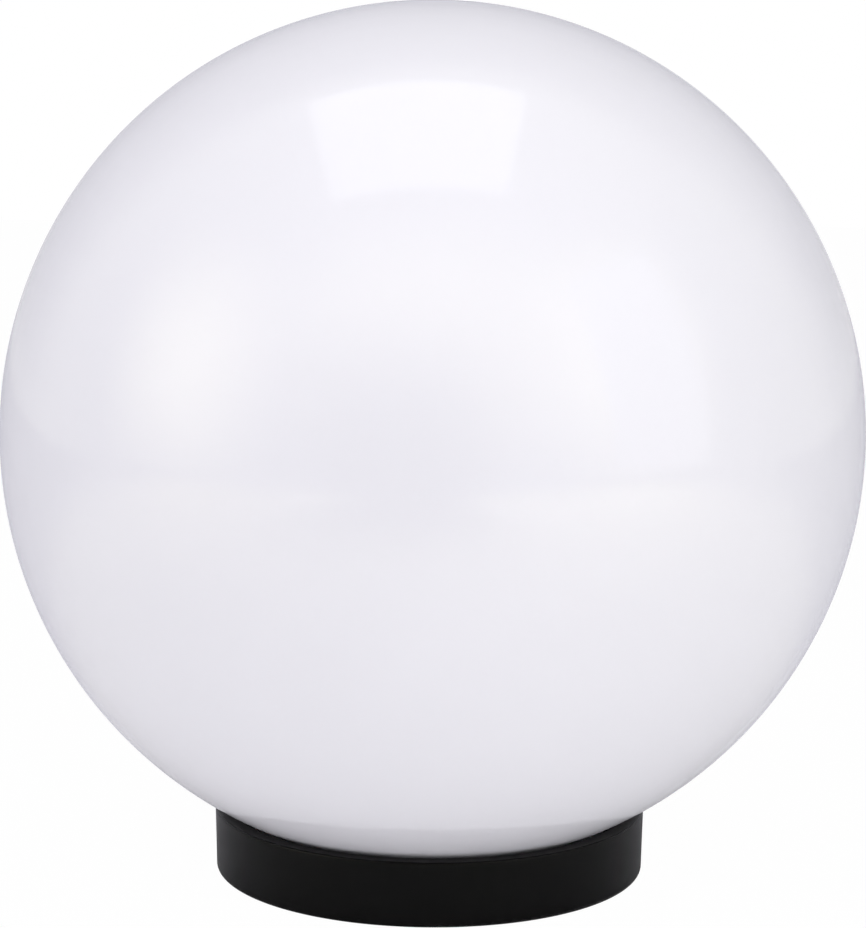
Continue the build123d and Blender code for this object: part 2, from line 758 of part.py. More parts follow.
def make_bulb_insulator():
    """Black glass cone under the cap, with its plug inside the shell."""
    return turned(
        (0, insulator_z),
        (tip_radius + 0.5, insulator_z),
        (insulator_radius, cap_z - 0.6),
        (insulator_radius, cap_z),
        (insulator_plug_radius, cap_z),
        (insulator_plug_radius, cap_z + insulator_plug_height),
        (0, cap_z + insulator_plug_height),
    )


def make_bulb_screw_cap():
    """Cap shell with a rounded lower edge and an open top."""
    face = make_face(
        Polyline(
            (insulator_plug_radius + fixed_fit, cap_z),
            (cap_radius, cap_z),
            (cap_radius, cap_top_z),
            (cap_radius - cap_wall, cap_top_z),
            (cap_radius - cap_wall, cap_z + cap_wall),
            (insulator_plug_radius + fixed_fit, cap_z + cap_wall),
            close=True,
        )
    )
    face = rounded(face, cap_radius, cap_z, cap_wall * 0.8)
    return turned_face(face)


def housing_curve(inset):
    """Side of the housing from its neck to its rim, moved in by a wall."""
    start = (bulb_neck_radius - inset, cap_top_z + bulb_neck_height)
    end = (bulb_rim_radius - inset, bulb_rim_z)
    rise = bulb_housing_height - bulb_neck_height
    waist = (start[0] + 1.3, start[1] + rise * 0.3)
    shoulder = (end[0] - 2.3, end[1] - rise * 0.3)
    return Bezier(start, waist, shoulder, end)


def make_bulb_housing():
    """Flared cone with a spigot into the cap, hollow for the driver, and a ledge for the LED board."""
    wall = bulb_housing_wall
    spigot_radius = cap_radius - cap_wall - fixed_fit
    outer = housing_curve(0)
    inner = housing_curve(wall)
    floor_z = cap_top_z + bulb_neck_height
    outline = [
        Polyline(
            (0, cap_top_z - bulb_spigot_length),
            (spigot_radius, cap_top_z - bulb_spigot_length),
            (spigot_radius, cap_top_z),
            (bulb_neck_radius, cap_top_z),
            outer @ 0,
        ),
        outer,
        Line(outer @ 1, inner @ 1),
        inner,
        Polyline(inner @ 0, (0, floor_z), (0, cap_top_z - bulb_spigot_length)),
    ]
    housing = turned_face(make_face(outline))
    ledge_z = led_board_z
    ledge = ring(led_board_radius - led_board_ledge, bulb_rim_radius - wall / 2, ledge_z - wall, ledge_z)
    outside = turned_face(make_face([outer, Polyline(outer @ 1, (0, bulb_rim_z), (0, floor_z), outer @ 0)]))
    return housing + (ledge & outside)


def make_bulb_diffuser():
    """Opal dome, more than half a sphere, standing on the housing's rim."""
    inner = bulb_radius - bulb_diffuser_wall
    low_angle = -degrees(asin((bulb_center_z - bulb_rim_z) / bulb_radius))
    low_inner = -degrees(asin((bulb_center_z - bulb_rim_z) / inner))
    outer_arc = CenterArc((0, bulb_center_z), bulb_radius, low_angle, 90 - low_angle)
    inner_arc = CenterArc((0, bulb_center_z), inner, low_inner, 90 - low_inner)
    rim = Line(outer_arc @ 0, inner_arc @ 0)
    crown = Line(outer_arc @ 1, inner_arc @ 1)
    return turned_face(make_face([outer_arc, crown, inner_arc, rim]))


def make_bulb_led_board():
    board = post(led_board_radius, led_board_z, led_board_z + led_board_thickness)
    return board - post(2.5, led_board_z - 1, led_board_z + led_board_thickness + 1)


def make_bulb_leds():
    chip_z = led_board_z + led_board_thickness
    chip = Pos(led_ring_radius, 0, 0) * block(led_size, led_size, chip_z, chip_z + led_height)
    return Compound(around(chip, even_angles(led_count)))


def make_bulb_driver():
    """Upright board with a smoothing capacitor and a coil, standing on the housing's floor."""
    floor_z = cap_top_z + bulb_neck_height
    board = block(driver_width, driver_board_thickness, floor_z, floor_z + driver_height)
    side = driver_board_thickness / 2
    capacitor = Pos(0, side + driver_capacitor_radius - 0.6, 0) * post(
        driver_capacitor_radius, floor_z + 3, floor_z + 3 + driver_capacitor_height
    )
    coil_depth = driver_coil_width * 0.7
    coil = Pos(0, -side - coil_depth / 2, 0) * block(
        driver_coil_width, coil_depth, floor_z + 5, floor_z + 5 + driver_coil_width
    )
    return board + capacitor + coil


# ---------------------------------------------------------------- write every piece
makers = {
    "globe": make_globe,
    "neck_seal": make_neck_seal,
    "base": make_base,
    "mounting_gasket": make_mounting_gasket,
    "cable_grommet": make_cable_grommet,
    "cord_clamp_bar": make_cord_clamp_bar,
    "cord_clamp_screws": make_cord_clamp_screws,
    "terminal_block_body": make_terminal_block_body,
    "terminal_block_tubes": make_terminal_block_tubes,
    "terminal_block_screws": make_terminal_block_screws,
    "terminal_block_fixing_screw": make_terminal_block_fixing_screw,
    "lampholder_body": make_lampholder_body,
    "lampholder_screws": make_lampholder_screws,
    "lampholder_shell": make_lampholder_shell,
    "lampholder_contact": make_lampholder_contact,
    "lampholder_terminals": make_lampholder_terminals,
    "lampholder_terminal_screws": make_lampholder_terminal_screws,
    "lead_ferrules": make_lead_ferrules,
    "bulb_centre_contact": make_bulb_centre_contact,
    "bulb_insulator": make_bulb_insulator,
    "bulb_screw_cap": make_bulb_screw_cap,
    "bulb_housing": make_bulb_housing,
    "bulb_diffuser": make_bulb_diffuser,
    "bulb_led_board": make_bulb_led_board,
    "bulb_leds": make_bulb_leds,
    "bulb_driver": make_bulb_driver,
}

os.makedirs("parts", exist_ok=True)
for name, make in makers.items():
    export_step(make(), f"parts/{name}.step")
export_step(make_lead(neutral_route, "lead_wire_neutral"), "parts/lead_wire_neutral.step")
export_step(make_lead(live_route, "lead_wire_live"), "parts/lead_wire_live.step")
print("globe centre", round(globe_center_z, 2), "height", round(globe_center_z + globe_radius, 2))
print("neck radii", round(neck_inner_radius, 2), round(neck_outer_radius, 2))
print("base radius", round(base_top_radius, 2))
print("mount circle diameter", round(2 * mount_circle_radius, 2))
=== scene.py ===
import json
import math
from collections import namedtuple

import bpy
from bpy.props import FloatProperty, FloatVectorProperty, IntProperty, PointerProperty
from mathutils import Matrix, Vector

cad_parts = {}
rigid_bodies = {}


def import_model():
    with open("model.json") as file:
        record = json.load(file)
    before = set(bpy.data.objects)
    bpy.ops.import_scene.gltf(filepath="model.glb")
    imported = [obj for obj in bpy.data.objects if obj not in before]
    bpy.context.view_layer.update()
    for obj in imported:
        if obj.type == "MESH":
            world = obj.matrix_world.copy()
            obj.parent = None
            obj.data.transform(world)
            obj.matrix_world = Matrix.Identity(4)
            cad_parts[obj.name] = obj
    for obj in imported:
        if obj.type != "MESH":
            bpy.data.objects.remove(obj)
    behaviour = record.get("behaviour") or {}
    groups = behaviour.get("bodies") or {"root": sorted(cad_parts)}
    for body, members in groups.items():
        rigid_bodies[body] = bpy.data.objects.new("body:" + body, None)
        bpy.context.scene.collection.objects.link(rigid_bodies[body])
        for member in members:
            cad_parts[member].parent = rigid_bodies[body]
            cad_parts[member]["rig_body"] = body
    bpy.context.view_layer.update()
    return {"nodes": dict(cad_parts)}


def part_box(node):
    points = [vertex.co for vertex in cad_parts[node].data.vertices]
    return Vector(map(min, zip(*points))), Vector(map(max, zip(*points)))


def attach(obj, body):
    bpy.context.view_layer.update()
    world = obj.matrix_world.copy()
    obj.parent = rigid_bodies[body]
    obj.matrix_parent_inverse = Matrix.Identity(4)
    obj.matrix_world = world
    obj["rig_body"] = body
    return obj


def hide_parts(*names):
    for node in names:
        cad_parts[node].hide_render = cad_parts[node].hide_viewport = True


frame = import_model()

bl_info = {
    "name": "Garden Globe Light",
    "version": (1, 0, 0),
    "blender": (4, 5, 0),
    "location": "3D View > Sidebar > Globe Light",
    "description": "Dresses the packed garden globe light and sets up its studio stage",
    "category": "Object",
}

MM = 0.001
MERGE_DISTANCE = 0.001 * MM     # points nearer than this become one
NEAR = 0.01 * MM                # slack where a point or a face is picked by its place
THREAD_POINTS = 14              # points down one pitch of a thread
THREAD_STEPS = 72               # and round one turn of it
LATHE_STEPS = 96                # round a turned piece
SCREW_STEPS = 48                # round a screw
WALL_OUTWARD = 1                # side of its thread on which a rolled tube has its wall
WALL_INWARD = -1


# ---------------------------------------------------------------- sizes read from the frame
def node_box(name):
    low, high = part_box(name)
    return Vector(low), Vector(high)


globe_low, globe_high = node_box("globe")
rim_z = node_box("base")[1].z
GLOBE_RADIUS = 125 * MM
GLOBE_CENTER = globe_high.z - GLOBE_RADIUS


# ---------------------------------------------------------------- settings a user would change
def linear(hex_colour):
    """sRGB hex to the linear colour that shaders take."""
    values = [int(hex_colour[i : i + 2], 16) / 255 for i in (1, 3, 5)]
    return [v / 12.92 if v <= 0.04045 else ((v + 0.055) / 1.055) ** 2.4 for v in values] + [1.0]


def colour(name, description, hex_colour):
    """Colour setting whose default is an sRGB hex value."""
    return FloatVectorProperty(
        name=name, description=description, default=linear(hex_colour), size=4, min=0, max=1, subtype="COLOR"
    )


class GlobeLightSizes(bpy.types.PropertyGroup):
    """Sizes of the dressed pieces."""

    globe_steps: IntProperty(name="Globe steps", description="Segments round the globe", default=240, min=48)
    globe_rings: IntProperty(name="Globe rings", description="Rings from pole to pole", default=160, min=32)
    wall: FloatProperty(
        name="Globe wall", description="Wall of the blown globe", default=2.6 * MM, unit="LENGTH"
    )
    neck_radius: FloatProperty(
        name="Neck radius", description="Outside of the globe's neck", default=46.47 * MM, unit="LENGTH"
    )
    neck_root: FloatProperty(
        name="Neck root", description="Bevel where the neck leaves the globe", default=1.2 * MM, unit="LENGTH"
    )
    lug_reach: FloatProperty(
        name="Lug reach", description="How far a lug stands out of the neck", default=3.0 * MM, unit="LENGTH"
    )
    lug_height: FloatProperty(
        name="Lug height", description="Height of a lug", default=3.0 * MM, unit="LENGTH"
    )
    lug_arc: FloatProperty(
        name="Lug arc", description="Turn from end to end of a lug", default=math.radians(18), subtype="ANGLE"
    )
    thread_pitch: FloatProperty(
        name="Thread pitch", description="E27: seven turns to the inch", default=25.4 / 7 * MM, unit="LENGTH"
    )
    thread_depth: FloatProperty(
        name="Thread depth", description="From crest to root", default=1.0 * MM, unit="LENGTH"
    )
    cap_radius: FloatProperty(
        name="Cap radius", description="Middle of the cap's thread", default=12.6 * MM, unit="LENGTH"
    )
    thread_gap: FloatProperty(
        name="Thread gap", description="Between the two threads", default=0.3 * MM, unit="LENGTH"
    )
    sheet: FloatProperty(
        name="Sheet", description="Wall of the rolled cap and sleeve", default=0.35 * MM, unit="LENGTH"
    )


class GlobeLightColours(bpy.types.PropertyGroup):
    """Colours of the two pieces that show, and of the studio."""

    globe_pale: colour("Globe", "Paler colour of the opal globe", "#F6F5F9")
    globe_deep: colour("Globe, deeper", "Deeper colour of the opal globe", "#F4F3F7")
    base_pale: colour("Base", "Paler black of the base", "#040404")
    base_deep: colour("Base, deeper", "Deeper black of the base", "#030303")
    floor: colour("Floor", "Colour of the floor near the light", "#FAFAFA")
    room: colour("Room", "Colour of the room's light", "#FAF9FF")
    softbox: colour("Softboxes", "Colour of the softboxes", "#FFFFFF")
    glow: colour("Glows", "Colour of the soft bright patches on the globe", "#FFFCE4")
    shade: colour("Shades", "Colour of what the globe mirrors from behind it", "#F4F3FF")


class GlobeLightStage(bpy.types.PropertyGroup):
    """Camera and lights."""

    distance: FloatProperty(
        name="Camera distance", description="Level distance to the globe's axis", default=0.80, unit="LENGTH"
    )
    camera_rise: FloatProperty(
        name="Camera rise", description="Camera above the globe's centre", default=0.112, unit="LENGTH"
    )
    side_step: FloatProperty(
        name="Side step", description="Camera to the right of the axis", default=0.16 * MM, unit="LENGTH"
    )
    pitch: FloatProperty(
        name="Pitch", description="How far the camera looks down", default=math.radians(8.60), subtype="ANGLE"
    )
    roll: FloatProperty(
        name="Roll", description="Tilt of the picture", default=math.radians(0.507), subtype="ANGLE"
    )
    lens: FloatProperty(name="Lens", description="Focal length in mm on a 36 mm frame", default=107.33)
    room_front: FloatProperty(name="Room in front", description="Light of the room in front", default=1.24)
    room_behind: FloatProperty(name="Room behind", description="Light of the room behind", default=0.25)
    room_turn: FloatProperty(
        name="Room turned",
        description="Turn of the bright front toward the left",
        default=math.radians(22),
        subtype="ANGLE",
    )
    floor_white: FloatProperty(
        name="Floor white", description="Share of the floor that shows as plain white", default=0.985
    )


# ---------------------------------------------------------------- modelling helpers
def deselect_all():
    if bpy.context.object and bpy.context.object.mode != "OBJECT":
        bpy.ops.object.mode_set(mode="OBJECT")
    bpy.ops.object.select_all(action="DESELECT")


def activate(piece):
    deselect_all()
    piece.select_set(True)
    bpy.context.view_layer.objects.active = piece


def settle(piece):
    """Put the object's place into its mesh, so that it sits at the origin, unturned and unscaled."""
    activate(piece)
    bpy.ops.object.transform_apply(location=True, rotation=True, scale=True)


def edit_all(piece):
    """Enter edit mode with every point selected."""
    activate(piece)
    bpy.ops.object.mode_set(mode="EDIT")
    bpy.ops.mesh.select_mode(type="VERT")
    bpy.ops.mesh.select_all(action="SELECT")


def mend_normals(piece):
    edit_all(piece)
    bpy.ops.mesh.remove_doubles(threshold=MERGE_DISTANCE)
    bpy.ops.mesh.normals_make_consistent(inside=False)
    bpy.ops.object.mode_set(mode="OBJECT")


def smooth(piece, degrees):
    """Shade smooth, but for edges sharper than the angle."""
    activate(piece)
    bpy.ops.object.shade_smooth_by_angle(angle=math.radians(degrees))


def clear_selection(piece, kind):
    """Deselect the whole mesh, and let edit mode pick by points or by faces."""
    activate(piece)
    bpy.ops.object.mode_set(mode="EDIT")
    bpy.ops.mesh.select_mode(type=kind)
    bpy.ops.mesh.select_all(action="DESELECT")
    bpy.ops.object.mode_set(mode="OBJECT")


def select_points(piece, wanted):
    """Leave the piece in edit mode with the points selected whose place passes the test."""
    clear_selection(piece, "VERT")
    for point in piece.data.vertices:
        point.select = wanted(point.co)
    bpy.ops.object.mode_set(mode="EDIT")


def select_faces(piece, wanted):
    """Leave the piece in edit mode with the faces selected whose middle passes the test."""
    clear_selection(piece, "FACE")
    for face in piece.data.polygons:
        face.select = wanted(face.center)
    bpy.ops.object.mode_set(mode="EDIT")


def join(pieces):
    """One object, with its own mesh, from several."""
    deselect_all()
    for piece in pieces:
        piece.select_set(True)
    bpy.context.view_layer.objects.active = pieces[0]
    bpy.ops.object.join()
    return pieces[0]


def copy_to(piece, place, turn):
    """A copy with its own mesh, turned about Z and put at (x, y, z)."""
    copy = piece.copy()
    copy.data = piece.data.copy()
    bpy.context.collection.objects.link(copy)
    copy.location = place
    copy.rotation_euler = (0, 0, turn)
    settle(copy)
    return copy


def apply_modifier(piece, kind, **settings):
    activate(piece)
    modifier = piece.modifiers.new(kind.title(), kind)
    for name, value in settings.items():
        setattr(modifier, name, value)
    bpy.ops.object.modifier_apply(modifier=modifier.name)


def rounded_outline(corners, steps=5):
    """Outline points from (radius, height, fillet) corners; each fillet is an arc of a few steps."""
    points = []
    count = len(corners)
    for index, (x, y, fillet) in enumerate(corners):
        here = Vector((x, y))
        before = Vector(corners[index - 1][:2]) - here
        after = Vector(corners[(index + 1) % count][:2]) - here
        if fillet <= 0 or before.length == 0 or after.length == 0:
            points.append((x, y))
            continue
        half = before.angle(after) / 2
        reach = fillet / math.tan(half)
        start = here + before.normalized() * reach
        end = here + after.normalized() * reach
        middle = here + (before.normalized() + after.normalized()).normalized() * fillet / math.sin(half)
        first = start - middle
        last = end - middle
        turn = first.angle_signed(last)
        for step in range(steps + 1):
            arm = first.copy()
            arm.rotate(Matrix.Rotation(-turn * step / steps, 2))
            points.append(tuple(middle + arm))
    return points


def chain(name, outline):
    """A point extruded along (radius, height) points in the XZ plane."""
    deselect_all()
    here = Vector((outline[0][0], 0, outline[0][1]))
    bpy.ops.mesh.primitive_plane_add(size=MM, location=here)
    piece = bpy.context.object
    piece.name = name
    piece.data.name = name
    settle(piece)
    edit_all(piece)
    bpy.ops.mesh.merge(type="CENTER")
    for x, z in outline[1:]:
        step = Vector((x, 0, z)) - here
        bpy.ops.mesh.extrude_region_move(TRANSFORM_OT_translate={"value": step})
        here = here + step
    bpy.ops.object.mode_set(mode="OBJECT")
    return piece


def turn_piece(name, outline, steps=LATHE_STEPS, closed=True):
    """Lathe: an outline of (radius, height) points spun about the axis."""
    piece = chain(name, outline + outline[:1] if closed else outline)
    edit_all(piece)
    bpy.ops.mesh.spin(steps=steps, angle=2 * math.pi, center=(0, 0, 0), axis=(0, 0, 1), dupli=False)
    bpy.ops.object.mode_set(mode="OBJECT")
    mend_normals(piece)
    return piece


def thread_tube(name, sizes, radius, low, high, side):
    """Rolled thread: one pitch of a round wave screwed up the axis, cut flat at its ends, with a wall."""
    pitch = sizes.thread_pitch
    start = pitch * (math.floor(low / pitch) - 1)
    wave = []
    for step in range(THREAD_POINTS + 1):
        part = step / THREAD_POINTS
        swing = sizes.thread_depth / 2 * math.cos(2 * math.pi * part)
        wave.append((radius + swing, start + pitch * part))
    piece = chain(name, wave)
    apply_modifier(
        piece,
        "SCREW",
        angle=2 * math.pi,
        screw_offset=pitch,
        iterations=math.ceil((high - start) / pitch) + 1,
        steps=THREAD_STEPS,
        render_steps=THREAD_STEPS,
    )
    for level, below in ((low, True), (high, False)):
        edit_all(piece)
        bpy.ops.mesh.bisect(
            plane_co=(0, 0, level), plane_no=(0, 0, 1), clear_inner=below, clear_outer=not below
        )
        bpy.ops.object.mode_set(mode="OBJECT")
    mend_normals(piece)
    face = piece.data.polygons[0]
    if face.normal.dot(Vector((face.center.x, face.center.y, 0))) < 0:
        edit_all(piece)
        bpy.ops.mesh.flip_normals()
        bpy.ops.object.mode_set(mode="OBJECT")
    apply_modifier(piece, "SOLIDIFY", thickness=sizes.sheet, offset=side)
    mend_normals(piece)
    return piece


# ---------------------------------------------------------------- screws
SCREW_TURNS = (20, 65, 110, 155)    # degrees, so that no two recesses line up
DOME_STEP = 15                      # degrees along the round edge of a head
POINT_CHAMFER = 0.3 * MM
CROSS_TAPER = 0.55                  # width at the bottom of a cross, as a share of its top
SLOT_TAPER = 0.92
SLOT_OVERRUN = 2.4                  # length of a slot's cutter in head radii, so that it leaves both sides

ScrewKind = namedtuple("ScrewKind", "node places head_radius head_height fillet shank_radius recess")
Recess = namedtuple("Recess", "arms length width depth taper")


def cross(length, width, depth):
    """Recess of two crossed arms, from sizes in millimetres."""
    return Recess(2, length * MM, width * MM, depth * MM, CROSS_TAPER)


def slot_cut(head_radius, width, depth):
    """Recess of one slot right across the head, from sizes in millimetres."""
    return Recess(1, SLOT_OVERRUN * head_radius * MM, width * MM, depth * MM, SLOT_TAPER)


def on_circle(radius, *angles):
    """Places on a circle about the axis, at angles in degrees."""
    turns = [math.radians(angle) for angle in angles]
    return [(radius * math.cos(turn), radius * math.sin(turn)) for turn in turns]


SCREW_KINDS = (
    ScrewKind(
        node="lampholder_screws",
        places=on_circle(9.0 * MM, 0, 180),
        head_radius=3.3 * MM,
        head_height=2.4 * MM,
        fillet=1.08 * MM,
        shank_radius=1.9 * MM,
        recess=cross(length=3.2, width=0.9, depth=1.3),
    ),
    ScrewKind(
        node="cord_clamp_screws",
        places=on_circle(27.0 * MM, -35) + on_circle(39.67 * MM, -35),
        head_radius=2.85 * MM,
        head_height=1.45 * MM,
        fillet=0.65 * MM,
        shank_radius=1.45 * MM,
        recess=cross(length=2.6, width=0.75, depth=0.9),
    ),
    ScrewKind(
        node="terminal_block_fixing_screw",
        places=[(33.7 * MM, 0)],
        head_radius=2.1 * MM,
        head_height=1.4 * MM,
        fillet=0.63 * MM,
        shank_radius=1.3 * MM,
        recess=cross(length=2.2, width=0.65, depth=0.8),
    ),
    ScrewKind(
        node="terminal_block_screws",
        places=[(x * MM, y * MM) for x in (28.9, 38.5) for y in (-3.8, 3.8)],
        head_radius=1.6 * MM,
        head_height=1.3 * MM,
        fillet=0.2 * MM,
        shank_radius=1.2 * MM,
        recess=slot_cut(head_radius=1.6, width=0.6, depth=0.7),
    ),
    ScrewKind(
        node="lampholder_terminal_screws",
        places=on_circle(19.9 * MM, 72, 108),
        head_radius=2.4 * MM,
        head_height=1.8 * MM,
        fillet=0.8 * MM,
        shank_radius=1.4 * MM,
        recess=slot_cut(head_radius=2.4, width=0.7, depth=0.9),
    ),
)


def recess_cutter(top, size, taper):
    """Box round the head's top whose bottom is narrower than its top by the share taper."""
    center = (0, 0, top)
    deselect_all()
    bpy.ops.mesh.primitive_cube_add(size=1, location=center)
    piece = bpy.context.object
    piece.scale = size
    settle(piece)
    bottom = top - size[2] / 2
    select_faces(piece, lambda middle: middle.z < bottom + NEAR)
    bpy.ops.transform.resize(value=(taper, taper, 1), center_override=center)
    bpy.ops.object.mode_set(mode="OBJECT")
    return piece


def cut_recess(piece, top, recess):
    """Cut a slot or a cross for the driver into a screw's head."""
    for arm in range(recess.arms):
        flat = (recess.length, recess.width) if arm == 0 else (recess.width, recess.length)
        cutter = recess_cutter(top, flat + (2 * recess.depth,), recess.taper)
        apply_modifier(piece, "BOOLEAN", operation="DIFFERENCE", object=cutter, solver="EXACT")
        bpy.data.objects.remove(cutter)


def pan_screw(name, kind, top, low):
    """Screw with a domed head and its driver recess, standing on the axis."""
    arc = []
    for angle in range(0, 90 + DOME_STEP, DOME_STEP):
        out = kind.fillet * math.sin(math.radians(angle))
        up = kind.fillet * math.cos(math.radians(angle))
        arc.append((kind.head_radius - kind.fillet + out, top - kind.fillet + up))
    under = top - kind.head_height
    foot = [
        (kind.head_radius, under),
        (kind.shank_radius, under),
        (kind.shank_radius, low + POINT_CHAMFER),
        (kind.shank_radius - POINT_CHAMFER, low),
        (0, low),
    ]
    screw = turn_piece(name, [(0, top)] + arc + foot, steps=SCREW_STEPS, closed=False)
    cut_recess(screw, top, kind.recess)
    smooth(screw, degrees=30)
    return screw


# ---------------------------------------------------------------- material helpers
NOISE_SPAN = (0.3, 0.7)         # where most of a noise's values lie


def add_node(tree, kind, settings=None, values=None, links=None):
    """Add a node with its settings, socket values and links: {input: (node, output)}."""
    node = tree.nodes.new(kind)
    for name, value in (settings or {}).items():
        setattr(node, name, value)
    for name, value in (values or {}).items():
        node.inputs[name].default_value = value
    for name, (source, output) in (links or {}).items():
        tree.links.new(source.outputs[output], node.inputs[name])
    return node


def new_material(name):
    material = bpy.data.materials.new(name)
    material.use_nodes = True
    tree = material.node_tree
    tree.nodes.clear()
    return material, tree


def cloudy_tint(tree, place, size, first, second):
    """Faint patches of the given size between two linear colours: the noise, and the mix of the two."""
    patches = add_node(
        tree,
        "ShaderNodeTexNoise",
        values={"Scale": 1 / size, "Detail": 3.0},
        links={"Vector": (place, "Object")},
    )
    tint = add_node(tree, "ShaderNodeMix", settings={"data_type": "RGBA"}, links={"Factor": (patches, "Fac")})
    tint.inputs["A"].default_value = first
    tint.inputs["B"].default_value = second
    return patches, tint


def surface(name, colours, patch, rough, grain, relief, **shader_values):
    """Finish with faint patches of colour and gloss, and a fine relief; patch, grain and relief in metres."""
    material, tree = new_material(name)
    place = add_node(tree, "ShaderNodeTexCoord")
    patches, tint = cloudy_tint(tree, place, patch, *colours)
    gloss = add_node(
        tree,
        "ShaderNodeMapRange",
        values={
            "From Min": NOISE_SPAN[0],
            "From Max": NOISE_SPAN[1],
            "To Min": rough[0],
            "To Max": rough[1],
        },
        links={"Value": (patches, "Fac")},
    )
    fine = add_node(
        tree,
        "ShaderNodeTexNoise",
        values={"Scale": 1 / grain, "Detail": 2.0},
        links={"Vector": (place, "Object")},
    )
    bump = add_node(
        tree, "ShaderNodeBump", values={"Strength": 0.5, "Distance": relief}, links={"Height": (fine, "Fac")}
    )
    shader = add_node(
        tree,
        "ShaderNodeBsdfPrincipled",
        values={socket.replace("_", " "): value for socket, value in shader_values.items()},
        links={"Roughness": (gloss, "Result"), "Normal": (bump, "Normal")},
    )
    tree.links.new(tint.outputs["Result"], shader.inputs["Base Color"])
    add_node(tree, "ShaderNodeOutputMaterial", links={"Surface": (shader, "BSDF")})
    return material


def shades(*hex_colours):
    return [linear(hex_colour) for hex_colour in hex_colours]


# ---------------------------------------------------------------- finishes
MOULD_WAVE = 60 * MM            # slow waves that the hot mould leaves in the globe
OPAL_CLOUD = 35 * MM            # and clouds in its milky colour
RIM_BLEND = (0.30 * MM, 0.10 * MM)      # below the rim's top, from the satin wall to the polished rim
RIM_ROUGHNESS = 0.13


def opal_acrylic():
    """Blown opal PMMA: milky through its whole wall, with the shine of the hot mould's air side."""
    colours = bpy.context.scene.globe_light_colours
    material, tree = new_material("opal_acrylic_blown")
    place = add_node(tree, "ShaderNodeTexCoord")
    wave = add_node(
        tree,
        "ShaderNodeTexNoise",
        values={"Scale": 1 / MOULD_WAVE, "Detail": 1.0},
        links={"Vector": (place, "Object")},
    )
    bump = add_node(
        tree,
        "ShaderNodeBump",
        values={"Strength": 0.10, "Distance": 0.4 * MM},
        links={"Height": (wave, "Fac")},
    )
    tint = cloudy_tint(tree, place, OPAL_CLOUD, colours.globe_deep, colours.globe_pale)[1]
    shader = add_node(
        tree,
        "ShaderNodeBsdfPrincipled",
        values={
            "Roughness": 0.07,
            "IOR": 1.49,
            "Subsurface Weight": 0.25,
            "Subsurface Scale": 6 * MM,
            "Subsurface Radius": (1.0, 1.0, 1.0),
        },
        links={"Normal": (bump, "Normal")},
    )
    tree.links.new(tint.outputs["Result"], shader.inputs["Base Color"])
    add_node(tree, "ShaderNodeOutputMaterial", links={"Surface": (shader, "BSDF")})
    return material


def black_moulding():
    """Injection-moulded ABS: a satin wall from a lightly sparked tool, and a rim polished in it."""
    colours = bpy.context.scene.globe_light_colours
    material = surface(
        "abs_black_satin",
        (colours.base_pale, colours.base_deep),
        patch=40 * MM,
        rough=(0.34, 0.38),
        grain=0.6 * MM,
        relief=0.03 * MM,
        IOR=1.53,
        Specular_IOR_Level=0.09,
    )
    tree = material.node_tree
    shader = next(node for node in tree.nodes if node.bl_idname == "ShaderNodeBsdfPrincipled")
    satin = shader.inputs["Roughness"].links[0].from_socket
    place = add_node(tree, "ShaderNodeTexCoord")
    height = add_node(tree, "ShaderNodeSeparateXYZ", links={"Vector": (place, "Object")})
    rim = add_node(
        tree,
        "ShaderNodeMapRange",
        values={"From Min": rim_z - RIM_BLEND[0], "From Max": rim_z - RIM_BLEND[1], "To Max": RIM_ROUGHNESS},
        links={"Value": (height, "Z")},
    )
    tree.links.new(satin, rim.inputs["To Min"])
    tree.links.new(rim.outputs["Result"], shader.inputs["Roughness"])
    return material


def seal_silicone():
    """Moulded silicone rubber, translucent white, with a soft sheen."""
    return surface(
        "silicone_translucent",
        shades("#C9C9C6", "#BDBDB9"),
        patch=12 * MM,
        rough=(0.38, 0.50),
        grain=0.4 * MM,
        relief=0.01 * MM,
        IOR=1.41,
        Subsurface_Weight=0.3,
        Subsurface_Scale=2 * MM,
    )


def gasket_foam():
    """Die-cut EPDM foam: dull black with open cells of about half a millimetre."""
    return surface(
        "epdm_foam",
        shades("#151515", "#0C0C0C"),
        patch=2 * MM,
        rough=(0.85, 0.97),
        grain=0.5 * MM,
        relief=0.25 * MM,
        IOR=1.48,
    )


def grommet_rubber():
    """Moulded nitrile rubber: black with a dull bloom."""
    return surface(
        "nitrile_rubber",
        shades("#191919", "#101010"),
        patch=6 * MM,
        rough=(0.50, 0.65),
        grain=0.3 * MM,
        relief=0.02 * MM,
        IOR=1.52,
    )


def clamp_polyamide():
    """Natural polyamide: cream, slightly see-through at its edges."""
    return surface(
        "polyamide_natural",
        shades("#DDD9CB", "#D2CDBC"),
        patch=8 * MM,
        rough=(0.32, 0.44),
        grain=0.5 * MM,
        relief=0.01 * MM,
        IOR=1.53,
        Subsurface_Weight=0.25,
        Subsurface_Scale=1.5 * MM,
    )


def zinc_steel():
    """Bright zinc plate on steel screws, with the slight grey bloom of the bath."""
    return surface(
        "zinc_plated_steel",
        shades("#C3C6CB", "#A6A9AF"),
        patch=2 * MM,
        rough=(0.24, 0.40),
        grain=0.15 * MM,
        relief=0.01 * MM,
        Metallic=1.0,
    )


def plain_brass():
    """Free-cutting brass, sawn and drilled, lightly dulled by air."""
    return surface(
        "brass_plain",
        shades("#C8A660", "#B18F4C"),
        patch=3 * MM,
        rough=(0.24, 0.38),
        grain=0.2 * MM,
        relief=0.01 * MM,
        Metallic=1.0,
    )


def white_porcelain():
    """Glazed white porcelain: warm white, glassy, with the glaze's slow waves."""
    return surface(
        "porcelain_glazed",
        shades("#EFEDE6", "#E7E3DA"),
        patch=15 * MM,
        rough=(0.06, 0.12),
        grain=4.0 * MM,
        relief=0.10 * MM,
        IOR=1.55,
        Subsurface_Weight=0.1,
        Subsurface_Scale=1 * MM,
    )


